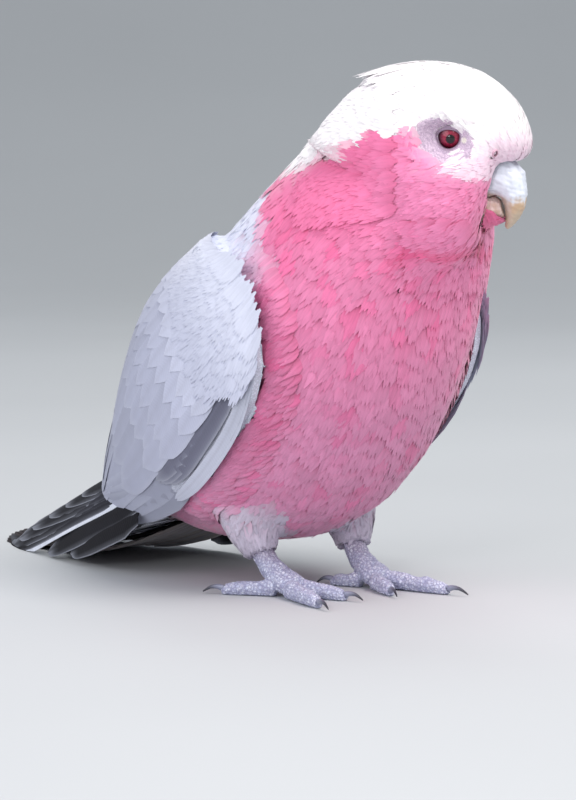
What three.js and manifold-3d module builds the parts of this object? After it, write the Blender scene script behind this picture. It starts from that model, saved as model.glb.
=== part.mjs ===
// A life-size galah, the pink and grey cockatoo, standing at rest with its head turned to its left.
// Millimetres, +Z up, the bird faces -Y and its left side is +X. Toes and tail lie on z = 0.
// Each solid is a closed loft through named sections. They are joined or parted by thin cuts, so the
// head, neck, trunk, wings, tail, legs, toes, claws, eyes and both halves of the bill stay apart.

import * as THREE from "three";
import { mergeVertices } from "three/addons/utils/BufferGeometryUtils.js";
import Module from "manifold-3d";

const wasm = await Module();
wasm.setup();

// ---------------------------------------------------------------- general dimensions

const GAP = 0.3; // the thin cut between neighbouring pieces
const REACH = 400; // side of the blocks that trim at the floor or at a cut
const ORIGIN = [0, -54.2, 0]; // brings the middle of the whole bird's box over 0, 0, 0

// ---------------------------------------------------------------- trunk, neck and head

// From inside the head to the root of the tail. Each section has its centre, its half width, and its
// half depths towards the back and towards the belly.
const TRUNK = [
  { at: [5, -43, 152], wide: 19, back: 36, belly: 15 },
  { at: [4, -38, 139], wide: 27, back: 38, belly: 25 },
  { at: [2, -28, 122], wide: 34, back: 40, belly: 31 },
  { at: [1, -15, 106], wide: 39, back: 43, belly: 40 },
  { at: [0, 2, 88], wide: 42, back: 45, belly: 48 },
  { at: [0, 20, 72], wide: 42, back: 45, belly: 52 },
  { at: [0, 40, 57], wide: 38, back: 41, belly: 48 },
  { at: [0, 60, 44], wide: 30, back: 32, belly: 35 },
  { at: [0, 80, 33], wide: 21, back: 19, belly: 20 },
  { at: [0, 96, 25], wide: 11, back: 8, belly: 9 },
];
const TRUNK_FINE = { side: [1, 0, 0], square: 2.3, around: 24, rings: 18 };
const NECK_CUT = { at: [0, -12, 104], facing: [0, -0.66, 0.75] };
const HEAD_CUT = { at: [6, -40, 130], facing: [0.12, -0.52, 0.85] };

// The head has its own frame: x forwards, y to its left, z up, its origin midway between the eyes.
const HEAD_AT = [8, -58, 153];
const HEAD_TURN = 41; // degrees to the bird's left
const HEAD = [
  { at: [-35, 0, 8.5], wide: 3, back: 6, belly: 7 },
  { at: [-31.5, 0, 4], wide: 11, back: 14.5, belly: 17 },
  { at: [-25, 0, -3], wide: 18, back: 25, belly: 29 },
  { at: [-17, 0, -12], wide: 22, back: 35.5, belly: 28 },
  { at: [-8, 0, -14.5], wide: 23.5, back: 38.5, belly: 27 },
  { at: [0, 0, -14.5], wide: 22.5, back: 37, belly: 26 },
  { at: [5, 0, -12], wide: 20.5, back: 32.8, belly: 22.5 },
  { at: [7.8, 0, -8.5], wide: 18, back: 27.5, belly: 19.5 },
  { at: [10.4, 0, -3], wide: 16, back: 20.5, belly: 8.6 },
  { at: [14, 0, 0], wide: 14, back: 14.3, belly: 9.4 },
  { at: [17.5, 0, 0], wide: 11, back: 10.4, belly: 8.8 },
  { at: [20.3, 0, -1], wide: 7, back: 5.8, belly: 6 },
  { at: [21.8, 0, -2], wide: 3, back: 2.2, belly: 2.4 },
];
const HEAD_FINE = { side: [0, -1, 0], along: [1, 0, 0], square: 2.15, around: 20, rings: 14 };
const EYE = { radius: 4.8, at: [-1.8, 12.3, 0.4] };
const SOCKET = { radius: 11, at: [-2, 26.3, 0], stretch: [1.15, 1, 0.85] };

const BILL_UPPER = [
  { at: [1, 0, -12.5], wide: 5, back: 5, belly: 5 },
  { at: [7.5, 0, -12.5], wide: 7.2, back: 7.5, belly: 8.4 },
  { at: [12.6, 0, -13.6], wide: 7.2, back: 8.6, belly: 6.4 },
  { at: [15.8, 0, -17.2], wide: 6.2, back: 5.4, belly: 4.8 },
  { at: [16.6, 0, -21.4], wide: 4.7, back: 3.9, belly: 3.5 },
  { at: [15.9, 0, -25.6], wide: 2.9, back: 2.5, belly: 2.3 },
  { at: [14.1, 0, -29.8], wide: 0.6, back: 0.6, belly: 0.6 },
];
const BILL_LOWER = [
  { at: [-1, 0, -25.6], wide: 5, back: 2, belly: 3 },
  { at: [5.5, 0, -25], wide: 6.2, back: 6.5, belly: 3.6 },
  { at: [10, 0, -24], wide: 5.6, back: 6.5, belly: 3.2 },
  { at: [13.2, 0, -23.2], wide: 4, back: 3, belly: 2.6 },
];
const BILL_FINE = { side: [0, -1, 0], square: 2.2, around: 12, rings: 11 };

// ---------------------------------------------------------------- wings and tail

// A wing is a shell lying on a bed that follows the flank and runs on behind it. Its outline is cut
// from the side and from above.
const WING_BED = [
  { at: [2, -40, 128], wide: 24, back: 24, belly: 24 },
  { at: [1, -26, 114], wide: 40, back: 37, belly: 42 },
  { at: [0, -8, 96], wide: 45, back: 42, belly: 46 },
  { at: [0, 12, 78], wide: 47, back: 47, belly: 48 },
  { at: [0, 34, 62], wide: 45, back: 49, belly: 44 },
  { at: [0, 56, 48], wide: 39, back: 42, belly: 35 },
  { at: [0, 78, 36], wide: 31, back: 27, belly: 24 },
  { at: [0, 98, 26], wide: 22, back: 13, belly: 13 },
  { at: [0, 116, 20], wide: 12, back: 5, belly: 6 },
];
const WING_FINE = { side: [1, 0, 0], square: 2.25, around: 24, rings: 17 };
const WING_THICK = 5;
// Side outline of the wing as y, z: wrist, leading edge, lower edge, feather tips, then far above.
const WING_SIDE = [
  [2, 113], [-9, 111], [-17, 103], [-21, 91], [-21, 79], [-16, 67], [-5, 55], [8, 44], [22, 35.5],
  [34, 30], [48, 26], [63, 22.5], [80, 20], [94, 18], [103, 18.5], [108, 22], [109, 40], [98, 90],
  [66, 119], [42, 119], [19, 116],
];
// Inner edge of the right wing from above as x, y: from the shoulder to the last covert tip.
const WING_TOP = [
  [-70, -40], [-38, -40], [-35, -10], [-29, 12], [-21, 36], [-13, 60], [-6, 84], [-3, 106],
  [-3, 130], [-70, 130],
];

// The primaries behind the coverts, and the tail, as long sheets: the middle line, half width,
// and how far each sheet arches across.
const PRIMARIES = {
  line: [[-24, 74, 34], [-23, 104, 23.5], [-19, 134, 15.5], [-13, 163, 10.5], [-8.5, 187, 7.4]],
  half: [15, 15.5, 13, 8.5, 2.5],
  roll: [50, 48, 42, 30, 20],
  thick: 2.4,
  arch: 2.5,
  tips: 4,
  rows: 7,
  step: 3,
  round: 4,
};
const TAIL = {
  line: [[0, 62, 22], [0, 90, 12.5], [0, 120, 6], [0, 150, 2.8], [0, 186, 1.5]],
  half: [13, 16, 18, 19.5, 19],
  roll: [0, 0, 0, 0, 0],
  thick: 3,
  arch: 1.4,
  tips: 7,
  rows: 6,
  step: 2,
  round: 9,
};

// ---------------------------------------------------------------- legs

const THIGH = [
  { at: [-20, 24, 38], wide: 8, back: 8, belly: 8 },
  { at: [-21, 21, 29], wide: 10, back: 11, belly: 11 },
  { at: [-20, 17, 19.5], wide: 8, back: 8.5, belly: 8 },
  { at: [-19, 13.5, 12], wide: 4.8, back: 5.2, belly: 4.8 },
];
const TARSUS = [
  { at: [-19.2, 16, 17], wide: 3.2, back: 3.2, belly: 3.2 },
  { at: [-19, 13, 11.5], wide: 3.7, back: 3.7, belly: 3.5 },
  { at: [-18.4, 7, 7], wide: 4.2, back: 3.7, belly: 3.6 },
  { at: [-18, 1, 4.4], wide: 5.6, back: 3.9, belly: 3.8 },
  { at: [-18, -4.6, 3.3], wide: 4.4, back: 2.8, belly: 2.8 },
];
const LEG_FINE = { side: [1, 0, 0], square: 2, around: 10, rings: 7 };

// Toes of the right foot: the root, the heading in degrees from straight ahead towards the outer
// side, the length to the claw, the radius at the root, and the claw's length. Two point forwards
// and two back.
const TOES = [
  { name: "inner_front", from: [-15, -3.4, 0], heading: -20, long: 17.5, thick: 3, nail: 8 },
  { name: "outer_front", from: [-20.8, -3.2, 0], heading: 14, long: 26, thick: 3.2, nail: 9.5 },
  { name: "inner_rear", from: [-15.2, 4, 0], heading: -150, long: 12, thick: 2.7, nail: 7 },
  { name: "outer_rear", from: [-20.4, 3.4, 0], heading: 140, long: 20, thick: 2.9, nail: 8 },
];
const TOE_FINE = { side: [1, 0, 0], square: 2, around: 8, rings: 7 };
const CLAW_FINE = { side: [1, 0, 0], square: 2, around: 6, rings: 6 };
const TOE_STEPS = [0, 0.2, 0.42, 0.6, 0.8, 1]; // along a toe, with how thick its pads are there
const TOE_SWELL = [1.0, 0.98, 0.82, 0.86, 0.7, 0.46];
const TOE_PRESS = 0.9; // height of a toe's middle over its radius, so that its pads lie flat
const CLAW_STEPS = [0, 0.3, 0.6, 0.85, 1];
const CLAW = { inset: 2, thick: 1.4, taper: 0.82, lift: 1.6, arch: 1.9, bend: 0.75, drop: 2.7 };

// ---------------------------------------------------------------- shaping helpers

const vector = (xyz) => new THREE.Vector3(...xyz);

// Closed geometry to an outward solid, with seams merged.
function solid(geometry) {
  const bare = geometry.clone();
  bare.deleteAttribute("normal");
  bare.deleteAttribute("uv");
  const merged = mergeVertices(bare, 1e-4);
  const positions = merged.getAttribute("position").array;
  const corners = new Uint32Array(merged.index.array);
  let volume = 0;
  for (let i = 0; i < corners.length; i += 3) {
    const [a, b, c] = [0, 1, 2].map((k) => {
      const start = 3 * corners[i + k];
      return new THREE.Vector3(positions[start], positions[start + 1], positions[start + 2]);
    });
    volume += a.dot(b.cross(c));
  }
  if (volume < 0) {
    for (let i = 0; i < corners.length; i += 3) {
      [corners[i + 1], corners[i + 2]] = [corners[i + 2], corners[i + 1]];
    }
  }
  const mesh = new wasm.Mesh({ numProp: 3, vertProperties: positions, triVerts: corners });
  return new wasm.Manifold(mesh);
}

// A sphere's grid drawn out through the sections: its poles close the two ends.
function loft(sections, fine, grow = 0) {
  const line = new THREE.CatmullRomCurve3(sections.map((s) => vector(s.at)));
  const size = new THREE.CatmullRomCurve3(
    sections.map((s) => new THREE.Vector3(s.wide, s.back, s.belly)),
    false,
    "catmullrom",
    0.5,
  );
  const geometry = new THREE.SphereGeometry(1, fine.around, fine.rings);
  const positions = geometry.getAttribute("position");
  const power = 2 / fine.square;
  const rounded = (value) => Math.sign(value) * Math.abs(value) ** power;
  for (let i = 0; i < positions.count; i += 1) {
    const p = new THREE.Vector3().fromBufferAttribute(positions, i);
    const t = THREE.MathUtils.clamp((1 - p.y) / 2, 0, 1);
    const ring = Math.hypot(p.x, p.z);
    const along = fine.along ? vector(fine.along) : line.getTangent(t);
    const side = vector(fine.side);
    side.addScaledVector(along, -side.dot(along)).normalize();
    const back = new THREE.Vector3().crossVectors(side, along);
    const centre = line.getPoint(t);
    if (ring < 1e-6) {
      centre.addScaledVector(along, t < 0.5 ? -grow : grow);
    } else {
      const { x: wide, y: up, z: down } = size.getPoint(t);
      const [across, over] = [rounded(p.x / ring), rounded(p.z / ring)];
      centre.addScaledVector(side, across * (wide + grow));
      centre.addScaledVector(back, over * ((over > 0 ? up : down) + grow));
    }
    positions.setXYZ(i, centre.x, centre.y, centre.z);
  }
  return solid(geometry);
}

// A block that keeps what lies on the facing side of a cut, starting half a gap above it.
function beyond({ at, facing }, shift = GAP / 2) {
  const normal = vector(facing).normalize();
  const geometry = new THREE.BoxGeometry(REACH, REACH, REACH);
  geometry.translate(0, 0, REACH / 2 + shift);
  const turn = new THREE.Quaternion().setFromUnitVectors(new THREE.Vector3(0, 0, 1), normal);
  geometry.applyQuaternion(turn);
  geometry.translate(...at);
  return solid(geometry);
}

const opposite = ({ at, facing }) => ({ at, facing: facing.map((value) => -value) });
const above = (height) => beyond({ at: [0, 0, height], facing: [0, 0, 1] }, 0);

// A prism whose outline lies in the plane of two axes and which runs from low to high on the third.
function prism(outline, axis, low, high, grow = 0) {
  const ring = outline.map(([u, v]) => new THREE.Vector2(u, v));
  const middle = ring.reduce((sum, p) => sum.add(p), new THREE.Vector2()).divideScalar(ring.length);
  const grown = ring.map((p, i) => {
    const before = ring[(i + ring.length - 1) % ring.length];
    const after = ring[(i + 1) % ring.length];
    const edge = after.clone().sub(before).normalize();
    const out = new THREE.Vector2(edge.y, -edge.x);
    const sign = THREE.ShapeUtils.isClockWise(ring) ? -1 : 1;
    return p.clone().addScaledVector(out, sign * grow);
  });
  const geometry = new THREE.ExtrudeGeometry(new THREE.Shape(grown), {
    depth: high - low,
    bevelEnabled: false,
  });
  geometry.translate(0, 0, low);
  if (axis === "x") {
    const turn = new THREE.Matrix4().set(0, 0, 1, 0, 1, 0, 0, 0, 0, 1, 0, 0, 0, 0, 0, 1);
    geometry.applyMatrix4(turn);
  }
  return solid(geometry);
}

// A long arched sheet with feather tips: a box's grid mapped along a line.
function sheet(spec, grow = 0) {
  const line = new THREE.CatmullRomCurve3(spec.line.map(vector));
  const spread = new THREE.SplineCurve(spec.half.map((h, i) => new THREE.Vector2(i, h)));
  const turn = new THREE.SplineCurve(spec.roll.map((r, i) => new THREE.Vector2(i, r)));
  const columns = 2 * spec.tips;
  const geometry = new THREE.BoxGeometry(1, 1, 1, columns, spec.rows, 1);
  const positions = geometry.getAttribute("position");
  for (let i = 0; i < positions.count; i += 1) {
    const u = 2 * positions.getX(i);
    const t = positions.getY(i) + 0.5;
    const face = 2 * positions.getZ(i);
    const half = spread.getPoint(t).y + grow;
    const along = line.getTangent(t);
    const side = new THREE.Vector3(1, 0, 0);
    side.addScaledVector(along, -side.dot(along)).normalize();
    side.applyAxisAngle(along, THREE.MathUtils.degToRad(-turn.getPoint(t).y));
    const up = new THREE.Vector3().crossVectors(side, along).normalize();
    const place = line.getPoint(t);
    const column = Math.round(((u + 1) / 2) * columns);
    const notch = column % 2 === 0 ? spec.step : 0;
    const end = t > 0.98 ? grow - notch - spec.round * u * u : 0;
    const start = t < 0.02 ? -grow : 0;
    const thick = (spec.thick / 2) * (1 - 0.55 * u * u) + grow;
    place.addScaledVector(along, end + start);
    place.addScaledVector(side, u * half);
    place.addScaledVector(up, face * thick - spec.arch * u * u);
    positions.setXYZ(i, place.x, place.y, place.z);
  }
  return solid(geometry);
}

// The right wing's shell, all of it grown by the same amount where a gap is to be cut around it.
function wing(grow = 0) {
  const shell = loft(WING_BED, WING_FINE, WING_THICK + grow).subtract(
    loft(WING_BED, WING_FINE, -grow),
  );
  return shell
    .intersect(prism(WING_SIDE, "x", -REACH / 2, 0, grow))
    .intersect(prism(WING_TOP, "z", -REACH / 2, REACH / 2, grow));
}

// Straight ahead is -Y, and a heading turns towards the right foot's outer side.
function footFrame(heading) {
  const angle = THREE.MathUtils.degToRad(heading);
  const ahead = new THREE.Vector3(-Math.sin(angle), -Math.cos(angle), 0);
  return { ahead, side: [Math.cos(angle), -Math.sin(angle), 0] };
}

// A toe laid along the floor, swollen at its root and at its pads.
function toe({ from, heading, long, thick }, grow = 0) {
  const { ahead, side } = footFrame(heading);
  const sections = TOE_STEPS.map((step, i) => {
    const radius = thick * TOE_SWELL[i];
    const place = vector(from).addScaledVector(ahead, step * long);
    place.z = TOE_PRESS * radius;
    return { at: place.toArray(), wide: radius, back: radius, belly: radius };
  });
  return loft(sections, { ...TOE_FINE, side }, grow);
}

// A claw that arches forwards from the tip of its toe and comes down to the floor.
function claw({ from, heading, long, nail }, grow = 0) {
  const { ahead, side } = footFrame(heading);
  const root = vector(from).addScaledVector(ahead, long - CLAW.inset);
  const sections = CLAW_STEPS.map((step) => {
    const radius = CLAW.thick * (1 - CLAW.taper * step);
    const place = root.clone().addScaledVector(ahead, step * nail);
    const curve = CLAW.arch * Math.sin(Math.PI * step * CLAW.bend);
    place.z = Math.max(CLAW.lift + curve - CLAW.drop * step * step, radius + GAP);
    return { at: place.toArray(), wide: 0.8 * radius, back: radius, belly: radius };
  });
  return loft(sections, { ...CLAW_FINE, side }, grow);
}

const mirrored = (body) => body.mirror([1, 0, 0]);

// The largest of a solid's bodies, without slivers left over from a cut.
function largest(body) {
  return body.decompose().reduce((best, next) => (next.volume() > best.volume() ? next : best));
}

// ---------------------------------------------------------------- the pieces

const headFrame = new THREE.Matrix4()
  .makeTranslation(...HEAD_AT)
  .multiply(new THREE.Matrix4().makeRotationZ(THREE.MathUtils.degToRad(HEAD_TURN - 90)));
const inHead = (body) => body.transform(headFrame.toArray());

function ball(radius, at, stretch = [1, 1, 1], around = 12, rings = 8) {
  const geometry = new THREE.SphereGeometry(radius, around, rings);
  geometry.scale(...stretch);
  geometry.translate(...at);
  return solid(geometry);
}

const pieces = new Map();
const eyeSides = { right: -1, left: 1 };

const trunkBody = loft(TRUNK, TRUNK_FINE);
const headBody = inHead(loft(HEAD, HEAD_FINE));

const wingSolids = { right: wing(), left: mirrored(wing()) };
const wingRooms = { right: wing(GAP), left: mirrored(wing(GAP)) };
const tail = sheet(TAIL).intersect(above(0));
const tailRoom = sheet(TAIL, GAP);
const primary = sheet(PRIMARIES);
const primaryRoom = sheet(PRIMARIES, GAP);
const thigh = loft(THIGH, LEG_FINE);
const thighRoom = loft(THIGH, LEG_FINE, GAP);
const tarsus = loft(TARSUS, LEG_FINE);
const tarsusRoom = loft(TARSUS, LEG_FINE, GAP);

let flesh = trunkBody.add(headBody).subtract(tailRoom);
for (const room of [wingRooms.right, primaryRoom, thighRoom, tarsusRoom]) {
  flesh = flesh.subtract(room).subtract(mirrored(room));
}

const upper = loft(BILL_UPPER, BILL_FINE);
const upperRoom = loft(BILL_UPPER, BILL_FINE, GAP);
const lower = loft(BILL_LOWER, BILL_FINE).subtract(upperRoom);
const lowerRoom = loft(BILL_LOWER, BILL_FINE, GAP);
for (const room of [upperRoom, upper, lowerRoom]) {
  flesh = flesh.subtract(inHead(room));
}
for (const [name, sign] of Object.entries(eyeSides)) {
  const at = [EYE.at[0], sign * EYE.at[1], EYE.at[2]];
  const dent = [SOCKET.at[0], sign * SOCKET.at[1], SOCKET.at[2]];
  const socket = ball(SOCKET.radius, [0, 0, 0], SOCKET.stretch).translate(dent);
  flesh = flesh.subtract(inHead(socket)).subtract(inHead(ball(EYE.radius + GAP, at)));
  pieces.set(`eye_${name}`, inHead(ball(EYE.radius, at)));
}

pieces.set("head", flesh.intersect(beyond(HEAD_CUT)));
const belowHead = flesh.intersect(beyond(opposite(HEAD_CUT)));
pieces.set("neck", belowHead.intersect(beyond(NECK_CUT)));
pieces.set("trunk", belowHead.intersect(beyond(opposite(NECK_CUT))));
pieces.set("bill_upper", inHead(upper));
pieces.set("bill_lower", inHead(lower));
pieces.set("tail", tail);

for (const [name, place] of [["right", (body) => body], ["left", mirrored]]) {
  pieces.set(`wing_${name}`, wingSolids[name].subtract(tailRoom));
  const quills = largest(primary.subtract(wingRooms.right).subtract(tailRoom));
  pieces.set(`primaries_${name}`, place(quills));
  pieces.set(`thigh_${name}`, place(thigh.subtract(tarsusRoom)));
  let foot = tarsus;
  for (const spec of TOES) {
    const nail = claw(spec).intersect(above(0));
    const digit = largest(toe(spec).subtract(claw(spec, GAP)).intersect(above(0)));
    foot = foot.subtract(toe(spec, GAP));
    pieces.set(`toe_${spec.name}_${name}`, place(digit));
    pieces.set(`claw_${spec.name}_${name}`, place(nail));
  }
  pieces.set(`tarsus_${name}`, place(foot.intersect(above(0))));
}

// ---------------------------------------------------------------- finishes

const FINISHES = {
  down: { color: "#e58ba2", roughness: 0.85 },
  crown: { color: "#f3dfe4", roughness: 0.85 },
  grey: { color: "#b4b6c2", roughness: 0.75 },
  quill: { color: "#3c3838", roughness: 0.6 },
  thigh: { color: "#c9b4bc", roughness: 0.85 },
  scale: { color: "#9892a0", roughness: 0.6 },
  horn: { color: "#d9d6cf", roughness: 0.35 },
  claw: { color: "#55504f", roughness: 0.4 },
  eye: { color: "#8e1f30", roughness: 0.1 },
};
const FINISH_OF = [
  ["trunk", "down"], ["neck", "down"], ["head", "crown"], ["bill", "horn"], ["eye", "eye"],
  ["wing", "grey"], ["primaries", "quill"], ["tail", "quill"], ["thigh", "thigh"],
  ["tarsus", "scale"], ["toe", "scale"], ["claw", "claw"],
];

function toGeometry(body) {
  const { vertProperties, triVerts } = body.getMesh();
  const geometry = new THREE.BufferGeometry();
  geometry.setAttribute("position", new THREE.BufferAttribute(vertProperties, 3));
  geometry.setIndex(new THREE.BufferAttribute(triVerts, 1));
  geometry.computeVertexNormals();
  return geometry;
}

const group = new THREE.Group();
group.name = "galah";
for (const [name, body] of pieces) {
  const [, finish] = FINISH_OF.find(([start]) => name.startsWith(start));
  const material = new THREE.MeshStandardMaterial({ ...FINISHES[finish], metalness: 0 });
  material.name = finish;
  const mesh = new THREE.Mesh(toGeometry(body.translate(ORIGIN)), material);
  mesh.name = name;
  group.add(mesh);
}

export default group;
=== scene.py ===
"""The looks of a life-size galah that stands at rest with its head turned to its left.

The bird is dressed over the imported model. One skin lies inside the flesh solids, and the coat grows on
it: loose tufts on the body and head, and vaned feathers on the wings and tail. Bill, eyes, eye skin,
feet and claws are pieces of their own. Shapes are worked out in millimetres, with the floor at z = 0,
the bird facing -Y and its left side at +X, and are turned into metres when a mesh is made.
"""

import sys

import logging
import math
from collections.abc import Callable
from dataclasses import dataclass, field, replace
from enum import Enum

import bmesh
import bpy
import numpy as np
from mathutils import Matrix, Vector, noise
from mathutils.bvhtree import BVHTree
from mathutils.kdtree import KDTree


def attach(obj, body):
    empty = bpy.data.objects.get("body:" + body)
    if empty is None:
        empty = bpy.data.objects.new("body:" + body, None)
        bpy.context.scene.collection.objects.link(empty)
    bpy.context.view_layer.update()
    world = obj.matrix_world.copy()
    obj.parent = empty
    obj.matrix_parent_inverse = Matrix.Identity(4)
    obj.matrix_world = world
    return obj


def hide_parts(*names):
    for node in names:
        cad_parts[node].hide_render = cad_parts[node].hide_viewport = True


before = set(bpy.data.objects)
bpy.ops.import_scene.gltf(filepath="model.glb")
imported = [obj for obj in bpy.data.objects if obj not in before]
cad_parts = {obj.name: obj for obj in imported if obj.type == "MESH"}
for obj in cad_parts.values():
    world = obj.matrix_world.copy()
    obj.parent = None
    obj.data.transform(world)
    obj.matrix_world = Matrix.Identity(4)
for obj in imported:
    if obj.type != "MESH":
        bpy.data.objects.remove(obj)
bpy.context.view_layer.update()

LOG = logging.getLogger("galah")
Array = np.ndarray
MM = 0.001  # metres in a millimetre
ORIGIN = np.array([0.0, -54.2, 0.0])  # brings the middle of the bird over the origin
HEAD_AT = np.array([8.0, -58.0, 153.0])  # between the eyes
HEAD_TURN = math.radians(41 - 90)  # from straight along +X to where the bill points
PATCH = 0.003  # width of a tuft on the bake map
FEATHER_GAP = 0.05  # how far feathers stay over the floor, in millimetres
SOLE_GAP = 0.03  # and how far soles and claws do
WAVE_BANDS = 6.3  # a wave pattern's bands to a unit, at scale 1
BODY = "root"


class Slot(Enum):
    """The record's material slots."""

    DOWN = "down"
    CROWN = "crown"
    GREY = "grey"
    QUILL = "quill"
    THIGH = "thigh"
    SCALE = "scale"
    HORN = "horn"
    CLAW = "claw"
    EYE = "eye"


class Side(Enum):
    """A side of the bird, by the sign of X."""

    RIGHT = -1
    LEFT = 1

    @property
    def word(self) -> str:
        """The side's name in lower case."""
        return self.name.lower()


# ---------------------------------------------------------------- small sums


def linear(code: str) -> tuple[float, float, float]:
    """Turns an sRGB colour into linear light.

    Args:
        code: The colour as "#rrggbb".

    Returns:
        Red, green and blue from 0 to 1.
    """
    parts = [int(code[i : i + 2], 16) / 255 for i in (1, 3, 5)]
    return tuple(c / 12.92 if c <= 0.04045 else ((c + 0.055) / 1.055) ** 2.4 for c in parts)


def tint(code: str) -> Array:
    """Gives an sRGB colour as an array of linear light."""
    return np.array(linear(code))


def smooth(value: Array, low: float | Array, high: float | Array) -> Array:
    """Eases from 0 at low to 1 at high."""
    part = np.clip((value - low) / (high - low), 0.0, 1.0)
    return part * part * (3.0 - 2.0 * part)


def mix(first: Array, second: Array, share: Array) -> Array:
    """Blends two colours, or arrays of them, by a share from 0 to 1."""
    share = np.asarray(share)[..., None]
    return first * (1.0 - share) + second * share


def unit(vectors: Array) -> Array:
    """Scales vectors to length one."""
    return vectors / np.maximum(np.linalg.norm(vectors, axis=-1, keepdims=True), 1e-9)


def flatten(vectors: Array, normals: Array) -> Array:
    """Turns vectors into unit vectors that lie in the planes of the normals."""
    return unit(vectors - normals * np.sum(vectors * normals, axis=-1, keepdims=True))


def spline(knots: Array, at: Array) -> Array:
    """Follows a smooth curve through knots.

    Args:
        knots: Points or numbers, one to a row.
        at: Places from 0 to 1 along the curve.

    Returns:
        The curve's value at each place.
    """
    knots = np.asarray(knots, float)
    knots = knots[:, None] if knots.ndim == 1 else knots
    ends = np.vstack([2 * knots[0] - knots[1], knots, 2 * knots[-1] - knots[-2]])
    place = np.clip(np.asarray(at, float), 0.0, 1.0) * (len(knots) - 1)
    step = np.minimum(place.astype(int), len(knots) - 2)
    w = (place - step)[..., None]
    a, b, c, d = (ends[step + k] for k in range(4))
    value = b + 0.5 * w * (c - a + w * (2 * a - 5 * b + 4 * c - d + w * (3 * (b - c) + d - a)))
    return value[..., 0] if value.shape[-1] == 1 else value


def wobble(points: Array, size: float) -> Array:
    """A smooth pattern of soft patches.

    Args:
        points: Points in millimetres.
        size: Rough width of a patch in millimetres.

    Returns:
        A value from about -1 to 1 at each point.
    """
    turns = np.array([[0.9, 0.3, 0.4], [-0.5, 0.8, 0.35], [0.2, -0.6, 0.85], [0.7, 0.7, -0.5]])
    phase = points @ turns.T * (math.pi / size) + np.array([0.3, 1.7, 4.1, 2.6])
    a, b, c, d = (np.sin(phase[..., k]) for k in range(4))
    return (a * b + c * d) / 1.4


def to_head(points: Array) -> Array:
    """Gives points in the head's own frame: x forwards, y to its left, z up."""
    moved = points - HEAD_AT
    c, s = math.cos(HEAD_TURN), math.sin(HEAD_TURN)
    x, y = moved[..., 0], moved[..., 1]
    return np.stack([c * x + s * y, c * y - s * x, moved[..., 2]], -1)


def from_head(points: Array) -> Array:
    """Gives points of the head's frame in the bird's frame."""
    points = np.asarray(points, float)
    c, s = math.cos(HEAD_TURN), math.sin(HEAD_TURN)
    x, y = points[..., 0], points[..., 1]
    return np.stack([c * x - s * y, s * x + c * y, points[..., 2]], -1) + HEAD_AT


def way_from_head(vectors: Array) -> Array:
    """Gives directions of the head's frame in the bird's frame."""
    return from_head(vectors) - HEAD_AT


def frame_on(knots: tuple[tuple[float, float, float], ...], t: Array) -> tuple[Array, Array, Array, Array]:
    """Follows a line that runs backwards along the bird.

    Args:
        knots: The points that the line goes through, in millimetres.
        t: Shares along it, from 0 to 1.

    Returns:
        The points there, and the ways ahead, to the bird's left and away from the line.
    """
    line = np.array(knots, float)
    ahead = unit(spline(line, np.clip(t + 0.01, 0, 1)) - spline(line, np.clip(t - 0.01, 0, 1)))
    side = flatten(np.broadcast_to(np.array([1.0, 0, 0]), ahead.shape), ahead)
    return spline(line, t), ahead, side, np.cross(side, ahead)


# ---------------------------------------------------------------- meshes


@dataclass
class Sheaf:
    """The arrays of one piece: points in millimetres, faces, and what each point carries.

    shade holds the direction that each point is shaded towards, so that a coat looks soft.
    """

    points: Array
    quads: Array
    triangles: Array
    tints: Array
    vane: Array | None = None
    patch: Array | None = None
    shade: Array | None = None

    def mirrored(self) -> "Sheaf":
        """The same piece for the other side of the bird."""
        flip = np.array([-1.0, 1.0, 1.0])
        faces = self.quads[:, ::-1], self.triangles[:, ::-1]
        return Sheaf(self.points * flip, *faces, self.tints, self.vane, self.patch, self.shade * flip)


def joined(sheaves: list[Sheaf]) -> Sheaf:
    """Puts several sheaves into one.

    Args:
        sheaves: The sheaves, in order.

    Returns:
        One sheaf with all their points and faces.
    """
    starts = np.cumsum([0] + [len(sheaf.points) for sheaf in sheaves[:-1]])
    names = ("tints", "vane", "patch", "shade")
    plain = [np.concatenate([getattr(sheaf, name) for sheaf in sheaves]) for name in names]
    return Sheaf(
        np.concatenate([sheaf.points for sheaf in sheaves]),
        np.concatenate([sheaf.quads + start for sheaf, start in zip(sheaves, starts)]),
        np.concatenate([sheaf.triangles + start for sheaf, start in zip(sheaves, starts)]),
        *plain,
    )


def fill_map(patch: Array) -> Array:
    """Stretches the roots' places on the unwrap so that they fill the bake map."""
    low, high = patch.min(0), patch.max(0)
    return 0.01 + 0.98 * (patch - low) / np.maximum(high - low, 1e-6)


def new_object(name: str, data: bpy.types.ID) -> bpy.types.Object:
    """Adds an object with its data to the scene."""
    made = bpy.data.objects.new(name, data)
    bpy.context.scene.collection.objects.link(made)
    return made


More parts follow.
